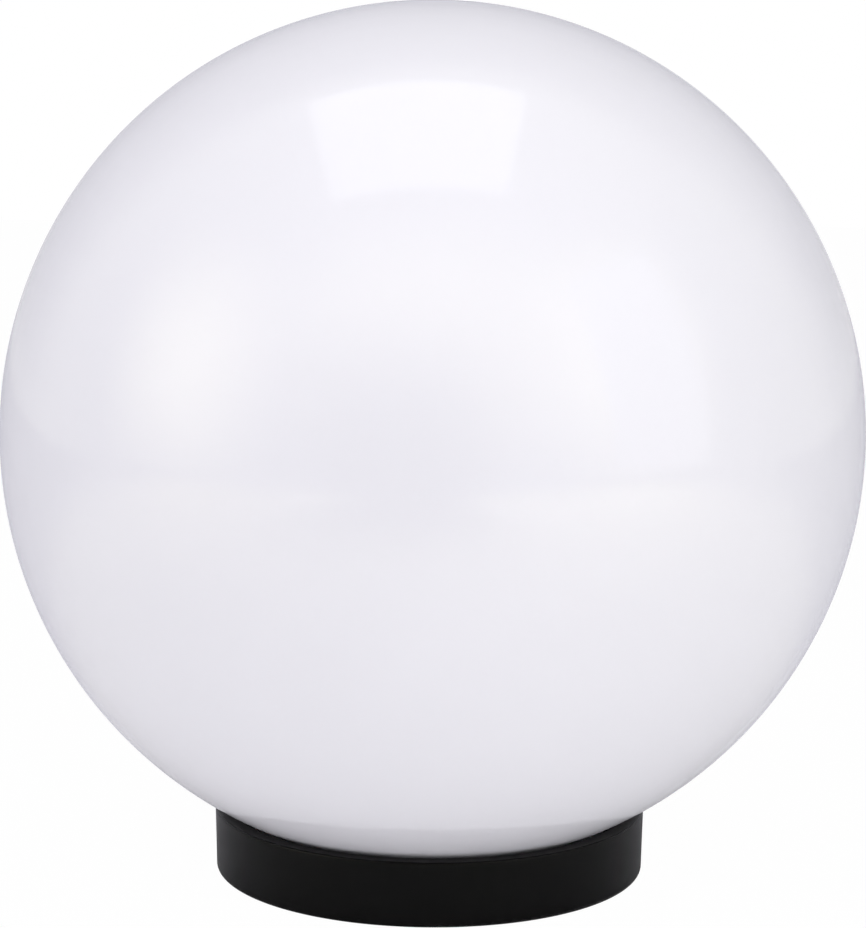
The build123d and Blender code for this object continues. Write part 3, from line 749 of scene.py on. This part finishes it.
def nickel_brass():
    """Nickel plate on the pressed brass sleeve: bright with drawing marks."""
    return surface(
        "nickel_on_brass",
        shades("#CFCAC0", "#B9B4A9"),
        patch=4 * MM,
        rough=(0.14, 0.26),
        grain=0.5 * MM,
        relief=0.008 * MM,
        Metallic=1.0,
    )


def spring_brass():
    """Rolled phosphor bronze strip of the contact leaf."""
    return surface(
        "phosphor_bronze",
        shades("#C9965C", "#AF7B46"),
        patch=3 * MM,
        rough=(0.24, 0.36),
        grain=0.1 * MM,
        relief=0.005 * MM,
        Metallic=1.0,
    )


def lead_sleeve(name, *hex_colours):
    """Extruded PVC of a lead: smooth, with a slight sheen."""
    return surface(
        name,
        shades(*hex_colours),
        patch=4 * MM,
        rough=(0.38, 0.48),
        grain=0.3 * MM,
        relief=0.01 * MM,
        IOR=1.53,
    )


def lead_brown():
    """Brown PVC sleeve of the live lead."""
    return lead_sleeve("pvc_brown", "#63402A", "#533420")


def lead_blue():
    """Blue PVC sleeve of the neutral lead."""
    return lead_sleeve("pvc_blue", "#2A69B0", "#215A9C")


def tinned_copper():
    """Tinned copper of the crimped ferrules."""
    return surface(
        "tinned_copper",
        shades("#CBCCCC", "#B1B2B3"),
        patch=1 * MM,
        rough=(0.28, 0.42),
        grain=0.2 * MM,
        relief=0.02 * MM,
        Metallic=1.0,
    )


def bulb_opal():
    """Frosted polycarbonate of the bulb's dome: milky and matt."""
    return surface(
        "polycarbonate_frosted",
        shades("#F0F0EC", "#EAEAE5"),
        patch=15 * MM,
        rough=(0.42, 0.52),
        grain=0.3 * MM,
        relief=0.015 * MM,
        IOR=1.58,
        Subsurface_Weight=0.35,
        Subsurface_Scale=3 * MM,
    )


def bulb_white():
    """White PBT moulding of the bulb's housing, finely textured."""
    return surface(
        "pbt_white",
        shades("#EEEEEC", "#E6E6E3"),
        patch=10 * MM,
        rough=(0.30, 0.42),
        grain=0.5 * MM,
        relief=0.02 * MM,
        IOR=1.55,
    )


def nickel_cap():
    """Nickel-plated brass of the bulb's rolled screw cap."""
    return surface(
        "nickel_rolled_cap",
        shades("#CECBC5", "#B7B4AE"),
        patch=3 * MM,
        rough=(0.14, 0.28),
        grain=0.4 * MM,
        relief=0.01 * MM,
        Metallic=1.0,
    )


def black_glass():
    """Black vitrite glass round the bulb's centre contact."""
    return surface(
        "vitrite_black",
        shades("#0C0C12", "#08080C"),
        patch=4 * MM,
        rough=(0.05, 0.12),
        grain=1.5 * MM,
        relief=0.03 * MM,
        IOR=1.52,
    )


def solder_tip():
    """Solder that flowed over the bulb's centre contact and set uneven."""
    return surface(
        "solder_tin",
        shades("#BBBCBE", "#9FA0A3"),
        patch=2 * MM,
        rough=(0.26, 0.44),
        grain=1.2 * MM,
        relief=0.12 * MM,
        Metallic=1.0,
    )


def white_board():
    """White solder mask on the aluminium board that carries the chips."""
    return surface(
        "solder_mask_white",
        shades("#F1F1ED", "#E8E8E3"),
        patch=6 * MM,
        rough=(0.26, 0.38),
        grain=0.3 * MM,
        relief=0.01 * MM,
        IOR=1.55,
    )


def led_phosphor():
    """Yellow phosphor in silicone over each chip."""
    return surface(
        "phosphor_silicone",
        shades("#EBC53A", "#DDB22A"),
        patch=1 * MM,
        rough=(0.30, 0.44),
        grain=0.1 * MM,
        relief=0.01 * MM,
        IOR=1.42,
    )


def driver_board():
    """Green glass-epoxy board of the driver."""
    return surface(
        "glass_epoxy_green",
        shades("#21703F", "#185C31"),
        patch=3 * MM,
        rough=(0.34, 0.46),
        grain=0.4 * MM,
        relief=0.02 * MM,
        IOR=1.55,
    )


FINISHES = (
    opal_acrylic,
    black_moulding,
    seal_silicone,
    gasket_foam,
    grommet_rubber,
    clamp_polyamide,
    zinc_steel,
    plain_brass,
    white_porcelain,
    nickel_brass,
    spring_brass,
    lead_brown,
    lead_blue,
    tinned_copper,
    bulb_opal,
    bulb_white,
    nickel_cap,
    black_glass,
    solder_tip,
    white_board,
    led_phosphor,
    driver_board,
)
made_finishes = {}


def finish(slot):
    """The material of a slot, made once."""
    if slot not in made_finishes:
        maker = next(maker for maker in FINISHES if maker.__name__ == slot)
        made_finishes[slot] = maker()
    return made_finishes[slot]


def dress(piece, material):
    piece.data.materials.clear()
    piece.data.materials.append(material)


def dress_nodes(*names):
    """Give CAD nodes that stay as they are the finish of their slot."""
    for name in names:
        piece = frame["nodes"][name]
        dress(piece, finish(piece.active_material.name))


def stand_for(piece, node):
    """Let a new piece take the place, body and slot of a CAD node."""
    solid = frame["nodes"][node]
    slot = solid.active_material.name
    dress(piece, finish(slot))
    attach(piece, solid["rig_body"])
    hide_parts(node)


# ---------------------------------------------------------------- pieces
LUG_ANGLES = (90, 210, 330)     # degrees, with the globe set down
SLEEVE_FOOT = 0.31 * MM         # the thread starts this far up, because its wall's outside reaches lower
FLANGE_THICKNESS = 0.4 * MM
FLANGE_OVERLAP = 0.3 * MM       # flange's inner edge inside the middle of the thread
FLANGE_ROUND = 0.15 * MM        # its upper edges
FLANGE_UNDER_ROUND = 0.1 * MM   # its lower outer edge
CAP_FOOT = 0.5 * MM             # the cap's thread starts this far up, inside the fold
COLLAR_HEIGHT = 2.2 * MM        # plain band over the cap's thread
COLLAR_OVERLAP = 0.3 * MM       # how far the thread runs into it
COLLAR_DEPTH = 1.4 * MM         # its inner edge, in from the thread's crest
COLLAR_PROUD = 0.05 * MM        # its outside, out from the crest
COLLAR_SHOULDER = 0.4 * MM      # round of its lower edge
COLLAR_ROUND = 0.2 * MM         # and of its upper one
FOLD_BORE = 10.85 * MM          # hole in the cap's folded foot, round the black glass
FOLD_THICKNESS = 0.6 * MM       # at the hole
FOLD_HEIGHT = 1.2 * MM          # up to where it meets the thread
FOLD_FOOT = 0.7 * MM            # its lower corner, in from the crest
FOLD_TOP = 0.2 * MM             # its upper corner, in from the crest
FOLD_ROUND = 0.6 * MM           # of the lower corner
FOLD_TOP_ROUND = 0.3 * MM       # of the upper corner


def add_lugs(globe, sizes):
    """Pull the bayonet lugs out of the neck's outer wall, between the rows of points at their ends."""
    half = sizes.lug_arc / 2
    middles = [math.radians(angle) for angle in LUG_ANGLES]
    skin = sizes.neck_radius - sizes.wall / 2

    def on_lug(place):
        angle = math.atan2(place.y, place.x)
        near = min(abs((angle - middle + math.pi) % (2 * math.pi) - math.pi) for middle in middles)
        low = globe_low.z + NEAR < place.z < globe_low.z + sizes.lug_height
        return near < half and low and math.hypot(place.x, place.y) > skin

    select_faces(globe, on_lug)
    bpy.ops.mesh.extrude_region_move(TRANSFORM_OT_translate={"value": (0, 0, 0)})
    out = (sizes.neck_radius + sizes.lug_reach) / sizes.neck_radius
    bpy.ops.transform.resize(value=(out, out, 1), center_override=(0, 0, 0))
    bpy.ops.object.mode_set(mode="OBJECT")


class GLOBE_OT_globe(bpy.types.Operator):
    """Blow the opal globe: a sphere opened at its neck, the neck drawn down, its wall and its bayonet lugs"""

    bl_idname = "globe_light.globe"
    bl_label = "Globe"

    def execute(self, context):
        sizes = context.scene.globe_light_sizes
        deselect_all()
        bpy.ops.mesh.primitive_uv_sphere_add(
            segments=sizes.globe_steps,
            ring_count=sizes.globe_rings,
            radius=GLOBE_RADIUS,
            location=(0, 0, GLOBE_CENTER),
        )
        globe = bpy.context.object
        globe.name = "globe_shell"
        settle(globe)
        neck = sizes.neck_radius
        neck_z = GLOBE_CENTER - math.sqrt(GLOBE_RADIUS**2 - neck**2)
        lug_top = globe_low.z + sizes.lug_height
        edit_all(globe)
        bpy.ops.mesh.bisect(plane_co=(0, 0, neck_z), plane_no=(0, 0, 1), clear_inner=True, clear_outer=False)
        bpy.ops.mesh.extrude_region_move(TRANSFORM_OT_translate={"value": (0, 0, lug_top - neck_z)})
        bpy.ops.mesh.extrude_region_move(TRANSFORM_OT_translate={"value": (0, 0, -sizes.lug_height)})
        bpy.ops.object.mode_set(mode="OBJECT")
        select_points(globe, lambda place: abs(place.z - neck_z) < NEAR)
        bpy.ops.mesh.bevel(offset=sizes.neck_root, segments=4)
        bpy.ops.object.mode_set(mode="OBJECT")
        mend_normals(globe)
        apply_modifier(globe, "SOLIDIFY", thickness=sizes.wall, offset=-1, use_even_offset=True)
        add_lugs(globe, sizes)
        smooth(globe, degrees=40)
        stand_for(globe, "globe")
        return {"FINISHED"}


class GLOBE_OT_base(bpy.types.Operator):
    """Finish the moulded base with its seal, gasket, grommet and cord clamp"""

    bl_idname = "globe_light.base"
    bl_label = "Base"

    def execute(self, context):
        dress_nodes("base", "neck_seal", "mounting_gasket", "cable_grommet", "cord_clamp_bar")
        return {"FINISHED"}


class GLOBE_OT_lampholder(bpy.types.Operator):
    """Roll the lampholder's threaded sleeve and finish its porcelain, terminals and contact"""

    bl_idname = "globe_light.lampholder"
    bl_label = "Lampholder"

    def execute(self, context):
        sizes = context.scene.globe_light_sizes
        low, high = node_box("lampholder_shell")
        radius = sizes.cap_radius + sizes.thread_gap
        inner = radius - FLANGE_OVERLAP
        under = high.z - FLANGE_THICKNESS
        tube = thread_tube("lampholder_sleeve", sizes, radius, low.z + SLEEVE_FOOT, under, WALL_OUTWARD)
        corners = [
            (inner, under, 0),
            (high.x, under, FLANGE_UNDER_ROUND),
            (high.x, high.z, FLANGE_ROUND),
            (inner, high.z, FLANGE_ROUND),
        ]
        flange = turn_piece("sleeve_flange", rounded_outline(corners))
        sleeve = join([tube, flange])
        smooth(sleeve, degrees=35)
        stand_for(sleeve, "lampholder_shell")
        dress_nodes("lampholder_body", "lampholder_contact", "lampholder_terminals")
        return {"FINISHED"}


class GLOBE_OT_fasteners(bpy.types.Operator):
    """Turn each kind of screw once, with its driver recess, and copy it to its places"""

    bl_idname = "globe_light.fasteners"
    bl_label = "Fasteners"

    def execute(self, context):
        for kind in SCREW_KINDS:
            low, high = node_box(kind.node)
            pattern = pan_screw(kind.node + "_pattern", kind, high.z, low.z)
            copies = []
            for (x, y), turn in zip(kind.places, SCREW_TURNS):
                copies.append(copy_to(pattern, (x, y, 0), math.radians(turn)))
            bpy.data.objects.remove(pattern)
            screws = join(copies)
            screws.name = kind.node + "_turned"
            stand_for(screws, kind.node)
        return {"FINISHED"}


class GLOBE_OT_wiring(bpy.types.Operator):
    """Finish the terminal block, its tubes and the two leads with their ferrules"""

    bl_idname = "globe_light.wiring"
    bl_label = "Wiring"

    def execute(self, context):
        dress_nodes("terminal_block_body", "terminal_block_tubes")
        dress_nodes("lead_wire_live", "lead_wire_neutral", "lead_ferrules")
        return {"FINISHED"}


class GLOBE_OT_bulb(bpy.types.Operator):
    """Roll the bulb's screw cap with its collar and fold, and finish the bulb's other pieces"""

    bl_idname = "globe_light.bulb"
    bl_label = "Bulb"

    def execute(self, context):
        sizes = context.scene.globe_light_sizes
        low, high = node_box("bulb_screw_cap")
        crest = sizes.cap_radius + sizes.thread_depth / 2
        collar_z = high.z - COLLAR_HEIGHT
        thread_top = collar_z + COLLAR_OVERLAP
        tube = thread_tube("bulb_cap", sizes, sizes.cap_radius, low.z + CAP_FOOT, thread_top, WALL_INWARD)
        collar_corners = [
            (crest - COLLAR_DEPTH, collar_z, 0),
            (crest + COLLAR_PROUD, collar_z, COLLAR_SHOULDER),
            (crest + COLLAR_PROUD, high.z, COLLAR_ROUND),
            (crest - COLLAR_DEPTH, high.z, 0),
        ]
        collar = turn_piece("cap_collar", rounded_outline(collar_corners))
        fold_corners = [
            (FOLD_BORE, low.z, 0),
            (crest - FOLD_FOOT, low.z, FOLD_ROUND),
            (crest - FOLD_TOP, low.z + FOLD_HEIGHT, FOLD_TOP_ROUND),
            (FOLD_BORE, low.z + FOLD_THICKNESS, 0),
        ]
        fold = turn_piece("cap_fold", rounded_outline(fold_corners))
        cap = join([tube, collar, fold])
        smooth(cap, degrees=35)
        stand_for(cap, "bulb_screw_cap")
        dress_nodes("bulb_diffuser", "bulb_housing", "bulb_insulator", "bulb_centre_contact")
        dress_nodes("bulb_led_board", "bulb_leds", "bulb_driver")
        return {"FINISHED"}


# ---------------------------------------------------------------- stage
FLOOR_SIZE = 6.0
FLOOR_OWN_TONE = 0.10           # from the light, as far as which mirrors see the floor's own tone
FLOOR_ALL_WHITE = 0.50          # and past which they see it white
ROOM_LEVEL = 0.90               # level and upward parts of the direction in which the room gets darker
ROOM_RISE = 0.44
ROOM_FADE = 0.5                 # width of that change, as the cosine either side of the middle
FRAME_HEIGHT = 36.0             # of the camera's sensor, in millimetres

Card = namedtuple("Card", "name place aim across size strength soft_edge")
GLOBE_MIDDLE = (0, 0, GLOBE_CENTER)


def lying_card(name, x, y, rise, across, size, strength, soft_edge):
    """Card that lies just over the floor, facing up; rise keeps two that overlap apart."""
    return Card(name, (x, y, rise), (x, y, 1), across, size, strength, soft_edge)


# The hard-edged shine near the globe's top, and the fainter one at its right.
SOFTBOXES = (
    Card(
        name="top_softbox",
        place=(-0.07, -0.05, 1.35),
        aim=GLOBE_MIDDLE,
        across=(1, 0, 0),
        size=(0.87, 0.84),
        strength=2.1,
        soft_edge=0.04,
    ),
    Card(
        name="right_softbox",
        place=(1.12, -0.72, 0.66),
        aim=(0, -0.2, 0.4),
        across=(0.5, 1, 0),
        size=(0.75, 1.3),
        strength=2.2,
        soft_edge=0.08,
    ),
)
# The soft bright ring on the globe, its lower part from the lit floor, and the dimmer patch in its middle.
GLOWS = (
    Card(
        name="right_glow",
        place=(1.20, -0.95, 0.72),
        aim=GLOBE_MIDDLE,
        across=(0.6, 1, 0),
        size=(1.9, 2.3),
        strength=3.4,
        soft_edge=0.5,
    ),
    Card(
        name="left_glow",
        place=(-1.27, -0.59, 0.59),
        aim=GLOBE_MIDDLE,
        across=(0.6, -1, 0),
        size=(1.7, 1.9),
        strength=3.4,
        soft_edge=0.5,
    ),
    Card(
        name="front_glow",
        place=(0, -1.9, 1.3),
        aim=GLOBE_MIDDLE,
        across=(1, 0, 0),
        size=(4.6, 3.4),
        strength=1.9,
        soft_edge=0.4,
    ),
    lying_card(
        name="floor_glow",
        x=0.05,
        y=-0.80,
        rise=1.0 * MM,
        across=(1, 0, 0),
        size=(2.8, 1.5),
        strength=1.7,
        soft_edge=0.45,
    ),
    lying_card(
        name="left_floor",
        x=-0.74,
        y=-0.44,
        rise=1.5 * MM,
        across=(-0.86, -0.51, 0),
        size=(1.6, 0.9),
        strength=2.1,
        soft_edge=0.5,
    ),
    lying_card(
        name="right_floor",
        x=0.72,
        y=-0.60,
        rise=1.5 * MM,
        across=(0.77, -0.64, 0),
        size=(1.75, 1.1),
        strength=2.4,
        soft_edge=0.5,
    ),
    Card(
        name="front_gap",
        place=(-0.14, -1.0, 0.13),
        aim=GLOBE_MIDDLE,
        across=(1, -0.14, 0),
        size=(1.5, 1.8),
        strength=0.0,
        soft_edge=0.45,
    ),
    lying_card(
        name="front_floor",
        x=-0.09,
        y=-0.80,
        rise=2.0 * MM,
        across=(1, 0, 0),
        size=(0.8, 1.2),
        strength=0.1,
        soft_edge=0.4,
    ),
)
# The greyer edge of the globe, and the floor behind it as the lower edges mirror it.
SHADES = (
    Card(
        name="dark_back",
        place=(0, 0.7, 0.9),
        aim=(0, 0, 0.9),
        across=(-1, 0, 0),
        size=(3.4, 2.4),
        strength=0.6,
        soft_edge=0.3,
    ),
    lying_card(
        name="back_floor",
        x=0,
        y=1.30,
        rise=1.0 * MM,
        across=(1, 0, 0),
        size=(3.2, 2.6),
        strength=0.65,
        soft_edge=0.06,
    ),
)


def camera_rays(tree):
    """Light Path, and a factor of 1 for what the camera sees, straight or through glass."""
    path = add_node(tree, "ShaderNodeLightPath")
    seen = add_node(
        tree,
        "ShaderNodeMath",
        settings={"operation": "MAXIMUM"},
        links={0: (path, "Is Camera Ray"), 1: (path, "Is Transmission Ray")},
    )
    return path, seen


def lay_floor(stage, colours):
    """Floor that shows as white, but keeps its own tone and shadow near the light where metal mirrors it."""
    deselect_all()
    bpy.ops.mesh.primitive_plane_add(size=FLOOR_SIZE, location=(0, 0, 0))
    floor = bpy.context.object
    floor.name = "floor"
    settle(floor)
    material, tree = new_material("studio_floor")
    path, seen = camera_rays(tree)
    place = add_node(tree, "ShaderNodeTexCoord")
    reach = add_node(
        tree, "ShaderNodeVectorMath", settings={"operation": "LENGTH"}, links={0: (place, "Object")}
    )
    far = add_node(
        tree,
        "ShaderNodeMapRange",
        settings={"interpolation_type": "SMOOTHSTEP"},
        values={"From Min": FLOOR_OWN_TONE, "From Max": FLOOR_ALL_WHITE},
        links={"Value": (reach, "Value")},
    )
    mirrored = add_node(
        tree,
        "ShaderNodeMath",
        settings={"operation": "MULTIPLY"},
        links={0: (far, "Result"), 1: (path, "Is Glossy Ray")},
    )
    either = add_node(
        tree,
        "ShaderNodeMath",
        settings={"operation": "MAXIMUM"},
        links={0: (seen, "Value"), 1: (mirrored, "Value")},
    )
    share = add_node(
        tree,
        "ShaderNodeMath",
        settings={"operation": "MULTIPLY"},
        values={1: stage.floor_white},
        links={0: (either, "Value")},
    )
    diffuse = add_node(tree, "ShaderNodeBsdfDiffuse", values={"Color": colours.floor})
    white = add_node(tree, "ShaderNodeEmission", values={"Strength": 1.0})
    mix = add_node(
        tree,
        "ShaderNodeMixShader",
        links={0: (share, "Value"), 1: (diffuse, "BSDF"), 2: (white, "Emission")},
    )
    add_node(tree, "ShaderNodeOutputMaterial", links={"Surface": (mix, "Shader")})
    dress(floor, material)


def set_room(scene, stage, colours):
    """World that shows as white, and lights the object as a room that is bright in front and dim behind."""
    world = bpy.data.worlds.new("studio_world")
    world.use_nodes = True
    scene.world = world
    tree = world.node_tree
    tree.nodes.clear()
    path, seen = camera_rays(tree)
    direction = add_node(tree, "ShaderNodeTexCoord")
    darker = (ROOM_LEVEL * math.sin(stage.room_turn), ROOM_LEVEL * math.cos(stage.room_turn), ROOM_RISE)
    behind = add_node(
        tree,
        "ShaderNodeVectorMath",
        settings={"operation": "DOT_PRODUCT"},
        values={1: darker},
        links={0: (direction, "Generated")},
    )
    lit = add_node(
        tree,
        "ShaderNodeMapRange",
        settings={"interpolation_type": "SMOOTHSTEP"},
        values={
            "From Min": -ROOM_FADE,
            "From Max": ROOM_FADE,
            "To Min": stage.room_front,
            "To Max": stage.room_behind,
        },
        links={"Value": (behind, "Value")},
    )
    room = add_node(
        tree, "ShaderNodeBackground", values={"Color": colours.room}, links={"Strength": (lit, "Result")}
    )
    white = add_node(tree, "ShaderNodeBackground", values={"Color": (1, 1, 1, 1), "Strength": 1.0})
    either = add_node(
        tree,
        "ShaderNodeMath",
        settings={"operation": "MAXIMUM"},
        links={0: (seen, "Value"), 1: (path, "Is Glossy Ray")},
    )
    mix = add_node(
        tree,
        "ShaderNodeMixShader",
        links={0: (either, "Value"), 1: (room, "Background"), 2: (white, "Background")},
    )
    add_node(tree, "ShaderNodeOutputWorld", links={"Surface": (mix, "Shader")})


def card_material(card, tint):
    """Glow in the card's middle that clears toward its edges."""
    material, tree = new_material(card.name)
    place = add_node(tree, "ShaderNodeTexCoord")
    sides = add_node(tree, "ShaderNodeSeparateXYZ", links={"Vector": (place, "UV")})
    falls = []
    for axis in ("X", "Y"):
        off = add_node(
            tree,
            "ShaderNodeMath",
            settings={"operation": "SUBTRACT"},
            values={1: 0.5},
            links={0: (sides, axis)},
        )
        away = add_node(
            tree, "ShaderNodeMath", settings={"operation": "ABSOLUTE"}, links={0: (off, "Value")}
        )
        falls.append(
            add_node(
                tree,
                "ShaderNodeMapRange",
                settings={"interpolation_type": "SMOOTHSTEP"},
                values={"From Min": 0.5, "From Max": 0.5 - card.soft_edge, "To Min": 0.0, "To Max": 1.0},
                links={"Value": (away, "Value")},
            )
        )
    both = add_node(
        tree,
        "ShaderNodeMath",
        settings={"operation": "MULTIPLY"},
        links={0: (falls[0], "Result"), 1: (falls[1], "Result")},
    )
    glow = add_node(tree, "ShaderNodeEmission", values={"Color": tint, "Strength": card.strength})
    clear = add_node(tree, "ShaderNodeBsdfTransparent")
    mix = add_node(
        tree,
        "ShaderNodeMixShader",
        links={0: (both, "Value"), 1: (clear, "BSDF"), 2: (glow, "Emission")},
    )
    add_node(tree, "ShaderNodeOutputMaterial", links={"Surface": (mix, "Shader")})
    return material


def studio_card(card, tint):
    """Glowing plane that faces its aim, with its width along across, and that the camera doesn't see."""
    deselect_all()
    bpy.ops.mesh.primitive_plane_add(size=1.0)
    plane = bpy.context.object
    plane.name = card.name
    plane.data.name = card.name
    plane.scale = (card.size[0], card.size[1], 1)
    plane.location = card.place
    facing = (Vector(card.aim) - Vector(card.place)).normalized()
    height = facing.cross(Vector(card.across)).normalized()
    plane.rotation_euler = Matrix((height.cross(facing), height, facing)).transposed().to_euler()
    settle(plane)
    dress(plane, card_material(card, tint))
    plane.visible_camera = False
    return plane


def mirrored_card(card, tint):
    """Card that only glossy faces mirror, and that neither gives nor takes light elsewhere."""
    plane = studio_card(card, tint)
    plane.visible_diffuse = False
    plane.visible_transmission = False
    plane.visible_volume_scatter = False
    plane.visible_shadow = False


def set_camera(scene, stage):
    view = bpy.data.cameras.new("camera")
    camera = bpy.data.objects.new("camera", view)
    scene.collection.objects.link(camera)
    scene.camera = camera
    view.sensor_fit = "VERTICAL"
    view.sensor_height = FRAME_HEIGHT
    view.lens = stage.lens
    camera.location = (stage.side_step, -stage.distance, GLOBE_CENTER + stage.camera_rise)
    turn = Matrix.Rotation(math.radians(90) - stage.pitch, 4, "X") @ Matrix.Rotation(stage.roll, 4, "Z")
    camera.rotation_euler = turn.to_euler()


class GLOBE_OT_stage(bpy.types.Operator):
    """Set the floor, the white surround, the lamps and the camera"""

    bl_idname = "globe_light.stage"
    bl_label = "Stage"

    def execute(self, context):
        scene = context.scene
        stage = scene.globe_light_stage
        colours = scene.globe_light_colours
        scene.view_settings.view_transform = "Standard"
        lay_floor(stage, colours)
        set_room(scene, stage, colours)
        for card in SOFTBOXES:
            studio_card(card, colours.softbox)
        for card in GLOWS:
            mirrored_card(card, colours.glow)
        for card in SHADES:
            mirrored_card(card, colours.shade)
        set_camera(scene, stage)
        return {"FINISHED"}


class GLOBE_PT_panel(bpy.types.Panel):
    """Sidebar panel that lists the pieces and the stage"""

    bl_label = "Globe Light"
    bl_idname = "GLOBE_PT_panel"
    bl_space_type = "VIEW_3D"
    bl_region_type = "UI"
    bl_category = "Globe Light"

    def draw(self, context):
        layout = self.layout
        for operator in OPERATORS:
            layout.operator(operator.bl_idname)


OPERATORS = (
    GLOBE_OT_globe,
    GLOBE_OT_base,
    GLOBE_OT_lampholder,
    GLOBE_OT_fasteners,
    GLOBE_OT_wiring,
    GLOBE_OT_bulb,
    GLOBE_OT_stage,
)
CLASSES = (GlobeLightSizes, GlobeLightColours, GlobeLightStage) + OPERATORS + (GLOBE_PT_panel,)


def register():
    for cls in CLASSES:
        bpy.utils.register_class(cls)
    bpy.types.Scene.globe_light_sizes = PointerProperty(type=GlobeLightSizes)
    bpy.types.Scene.globe_light_colours = PointerProperty(type=GlobeLightColours)
    bpy.types.Scene.globe_light_stage = PointerProperty(type=GlobeLightStage)


def unregister():
    del bpy.types.Scene.globe_light_stage
    del bpy.types.Scene.globe_light_colours
    del bpy.types.Scene.globe_light_sizes
    for cls in reversed(CLASSES):
        bpy.utils.unregister_class(cls)


def main():
    register()
    bpy.ops.globe_light.globe()
    bpy.ops.globe_light.base()
    bpy.ops.globe_light.lampholder()
    bpy.ops.globe_light.fasteners()
    bpy.ops.globe_light.wiring()
    bpy.ops.globe_light.bulb()
    bpy.ops.globe_light.stage()


if __name__ == "__main__":
    main()
